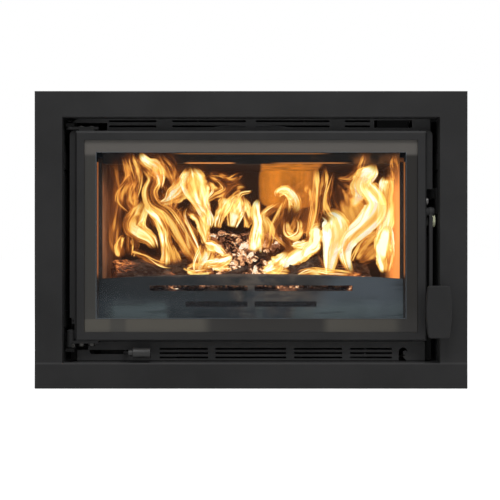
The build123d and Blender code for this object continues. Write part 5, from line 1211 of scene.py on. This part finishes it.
class INSERT_OT_finishes(bpy.types.Operator):
    """Paint, metal, brick and glass on the solids"""
    bl_idname = "insert.finishes"
    bl_label = "Finishes"

    def execute(self, context):
        settings = context.scene.insert_finish
        rough = settings.paint_roughness
        stove, inner = settings.stove_colour, settings.shade_colour
        for material, nodes in (
                # the frame and door paints carry a painted highlight along one edge
                (make_paint("frame_paint", settings.frame_colour, rough, painted_highlight=sill_highlight),
                 "surround_frame handle_paddle"),
                (make_paint("door_paint", stove, rough - 0.06, painted_highlight=crest_highlight), "door_frame"),
                (make_paint("stove_paint", stove, rough - 0.06), "lever_arm"),
                # a darker copy of the stove paint: painted shade on the hinge plates
                (make_paint("hinge_paint", dim(stove, 0.55), rough), "hinge_plate_upper hinge_plate_lower"),
                (make_paint("inner_paint", inner, rough + 0.1),
                 "jamb_strip_left jamb_strip_right glass_retainer lever_pivot_stud"),
                # a near-black copy of the inner paint: painted shade on the parts deep behind the door and
                # grilles
                (make_paint("deep_paint", dim(inner, 0.25), 0.85),
                 "firebox_front front_cheeks hinge_brackets frame_hangers air_slide air_housing catch_keeper "
                 "air_rod"),
                # the grilles take a lighter copy of the inner paint: painted light on these recessed plates
                (make_grille_paint(dim(inner, 2.2)), "top_grille bottom_grille"),
                (make_paint("knob_paint", (0.020, 0.020, 0.020), 0.45, 0.25), "air_knob"),
                (make_casing_coat(),
                 "casing_left casing_right casing_back casing_top casing_base firebox_supports firebox_left "
                 "firebox_right firebox_back firebox_base firebox_top flue_collar"),
                (make_steel("black_zinc", (0.036, 0.035, 0.034), 0.45),
                 "hinge_bolts hinge_pins retainer_screws paddle_screws casing_screws flue_bolts levelling_feet"),
                (make_steel("turned_steel", (0.085, 0.083, 0.080), 0.45), "roller_pin lever_stop_screw"),
                (make_brick(settings), "side_bricks back_brick hearth_bricks throat_plates"),
                (make_deflector_steel(), "airwash_deflector"),
                (make_cast_iron(settings), "log_guard"),
                (make_glass(), "door_glass"),
                (make_roller_brass(), "latch_roller")):
            for name in nodes.split():
                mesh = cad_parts[name].data
                mesh.materials.clear()
                mesh.materials.append(material)
        return {"FINISHED"}


# ================================ studio ================================

SENSOR_WIDTH = 36.0
CLIP_END = 100.0
FLOOR_HALF, FLOOR_GAP = 30.0, 0.0005
FLOOR_WHITE, FLOOR_GLOW = (0.86, 0.86, 0.86), 0.72
LIGHT_PATHS = 40    # how many see-through sheets of flame a ray may cross

# The soft square lamps: where each is, the height on the middle line that it aims at, its size and its power.
LAMPS = {
    "key": ((-0.9, -2.1, 2.3), 0.27, 1.6, "key_power"),
    "fill": ((1.9, -1.9, 1.2), 0.27, 1.8, "fill_power"),
    "top": ((0.1, -1.38, 2.2), 0.4, 0.9, "top_power"),
    "back": ((0.6, 2.4, 2.2), 0.27, 1.8, "key_power"),
}


def make_backing():
    """The floor: a pale surface that the camera, metal and glass see as white where no shadow lies."""
    shade = Shade("floor_white")
    tone = shade.mix(shade.grain(300.0, 3.0), dim(FLOOR_WHITE, 0.98), FLOOR_WHITE)
    return shade.finish(tone, 0.9, 0.0, light=shade.lit(shade.seen(), (1, 1, 1)), strength=FLOOR_GLOW)


def make_world(ambient):
    """White where it is seen, and a weaker light all round."""
    shade = Shade("studio", world=True)
    strength = shade.add("MapRange", {}, {"Value": shade.seen(), "To Min": ambient, "To Max": 1.0})
    sky = shade.add("Background", {}, {"Color": (1, 1, 1), "Strength": strength})
    shade.add("OutputWorld", {}, {"Surface": sky})
    return shade.owner


class INSERT_OT_stage(bpy.types.Operator):
    """Camera, floor, world and lamps"""
    bl_idname = "insert.stage"
    bl_label = "Stage"

    def execute(self, context):
        scene, settings = context.scene, context.scene.insert_studio
        data = bpy.data.cameras.new("photo_camera")
        data.sensor_width, data.clip_end = SENSOR_WIDTH, CLIP_END
        data.lens = SENSOR_WIDTH * settings.camera_distance / PHOTO_WIDTH
        camera = link_new("photo_camera", data)
        camera.location = (CAMERA_X, FACE_Y - settings.camera_distance, CAMERA_Z)
        camera.rotation_euler = (math.pi / 2, 0, 0)
        scene.camera = camera
        bm = bmesh.new()
        bmesh.ops.create_grid(bm, x_segments=1, y_segments=1, size=FLOOR_HALF)
        floor = link_new("floor", to_mesh(bm, "floor", make_backing()))
        floor.location.z = CAD_BOX[0][2] - FLOOR_GAP
        scene.world = make_world(settings.ambient)
        for name, (place, aim, size, power) in LAMPS.items():
            data = bpy.data.lights.new(name, "AREA")
            data.size, data.energy = size, getattr(settings, power)
            turn = (Vector((0, 0, aim)) - Vector(place)).to_track_quat("-Z", "Y")
            link_new(name, data).matrix_world = Matrix.Translation(place) @ turn.to_matrix().to_4x4()
        scene.view_settings.view_transform = "Standard"
        scene.cycles.transparent_max_bounces = LIGHT_PATHS
        return {"FINISHED"}


class INSERT_PT_panel(bpy.types.Panel):
    """The insert's operators and settings"""
    bl_idname = "INSERT_PT_panel"
    bl_label = "Fireplace insert"
    bl_space_type = "VIEW_3D"
    bl_region_type = "UI"
    bl_category = "Fireplace"

    def draw(self, context):
        for operator in OPERATORS:
            self.layout.operator(operator.bl_idname)
        for group in (context.scene.insert_finish, context.scene.insert_fire, context.scene.insert_studio):
            for name in group.bl_rna.properties.keys():
                if name not in ("rna_type", "name"):
                    self.layout.prop(group, name)


OPERATORS = (INSERT_OT_stage, INSERT_OT_finishes, INSERT_OT_back, INSERT_OT_screws, INSERT_OT_rope,
             INSERT_OT_fuel, INSERT_OT_fire)
CLASSES = (FinishSettings, FireSettings, StudioSettings, *OPERATORS, INSERT_PT_panel)


def register():
    for each in CLASSES:
        bpy.utils.register_class(each)
    bpy.types.Scene.insert_finish = PointerProperty(type=FinishSettings)
    bpy.types.Scene.insert_fire = PointerProperty(type=FireSettings)
    bpy.types.Scene.insert_studio = PointerProperty(type=StudioSettings)


def unregister():
    for name in ("insert_finish", "insert_fire", "insert_studio"):
        delattr(bpy.types.Scene, name)
    for each in reversed(CLASSES):
        bpy.utils.unregister_class(each)


def main():
    """Builds the whole scene."""
    register()
    bpy.ops.insert.stage()
    bpy.ops.insert.finishes()
    bpy.ops.insert.back()
    bpy.ops.insert.screws()
    bpy.ops.insert.rope()
    bpy.ops.insert.fuel()
    bpy.ops.insert.fire()


if __name__ == "__main__":
    main()
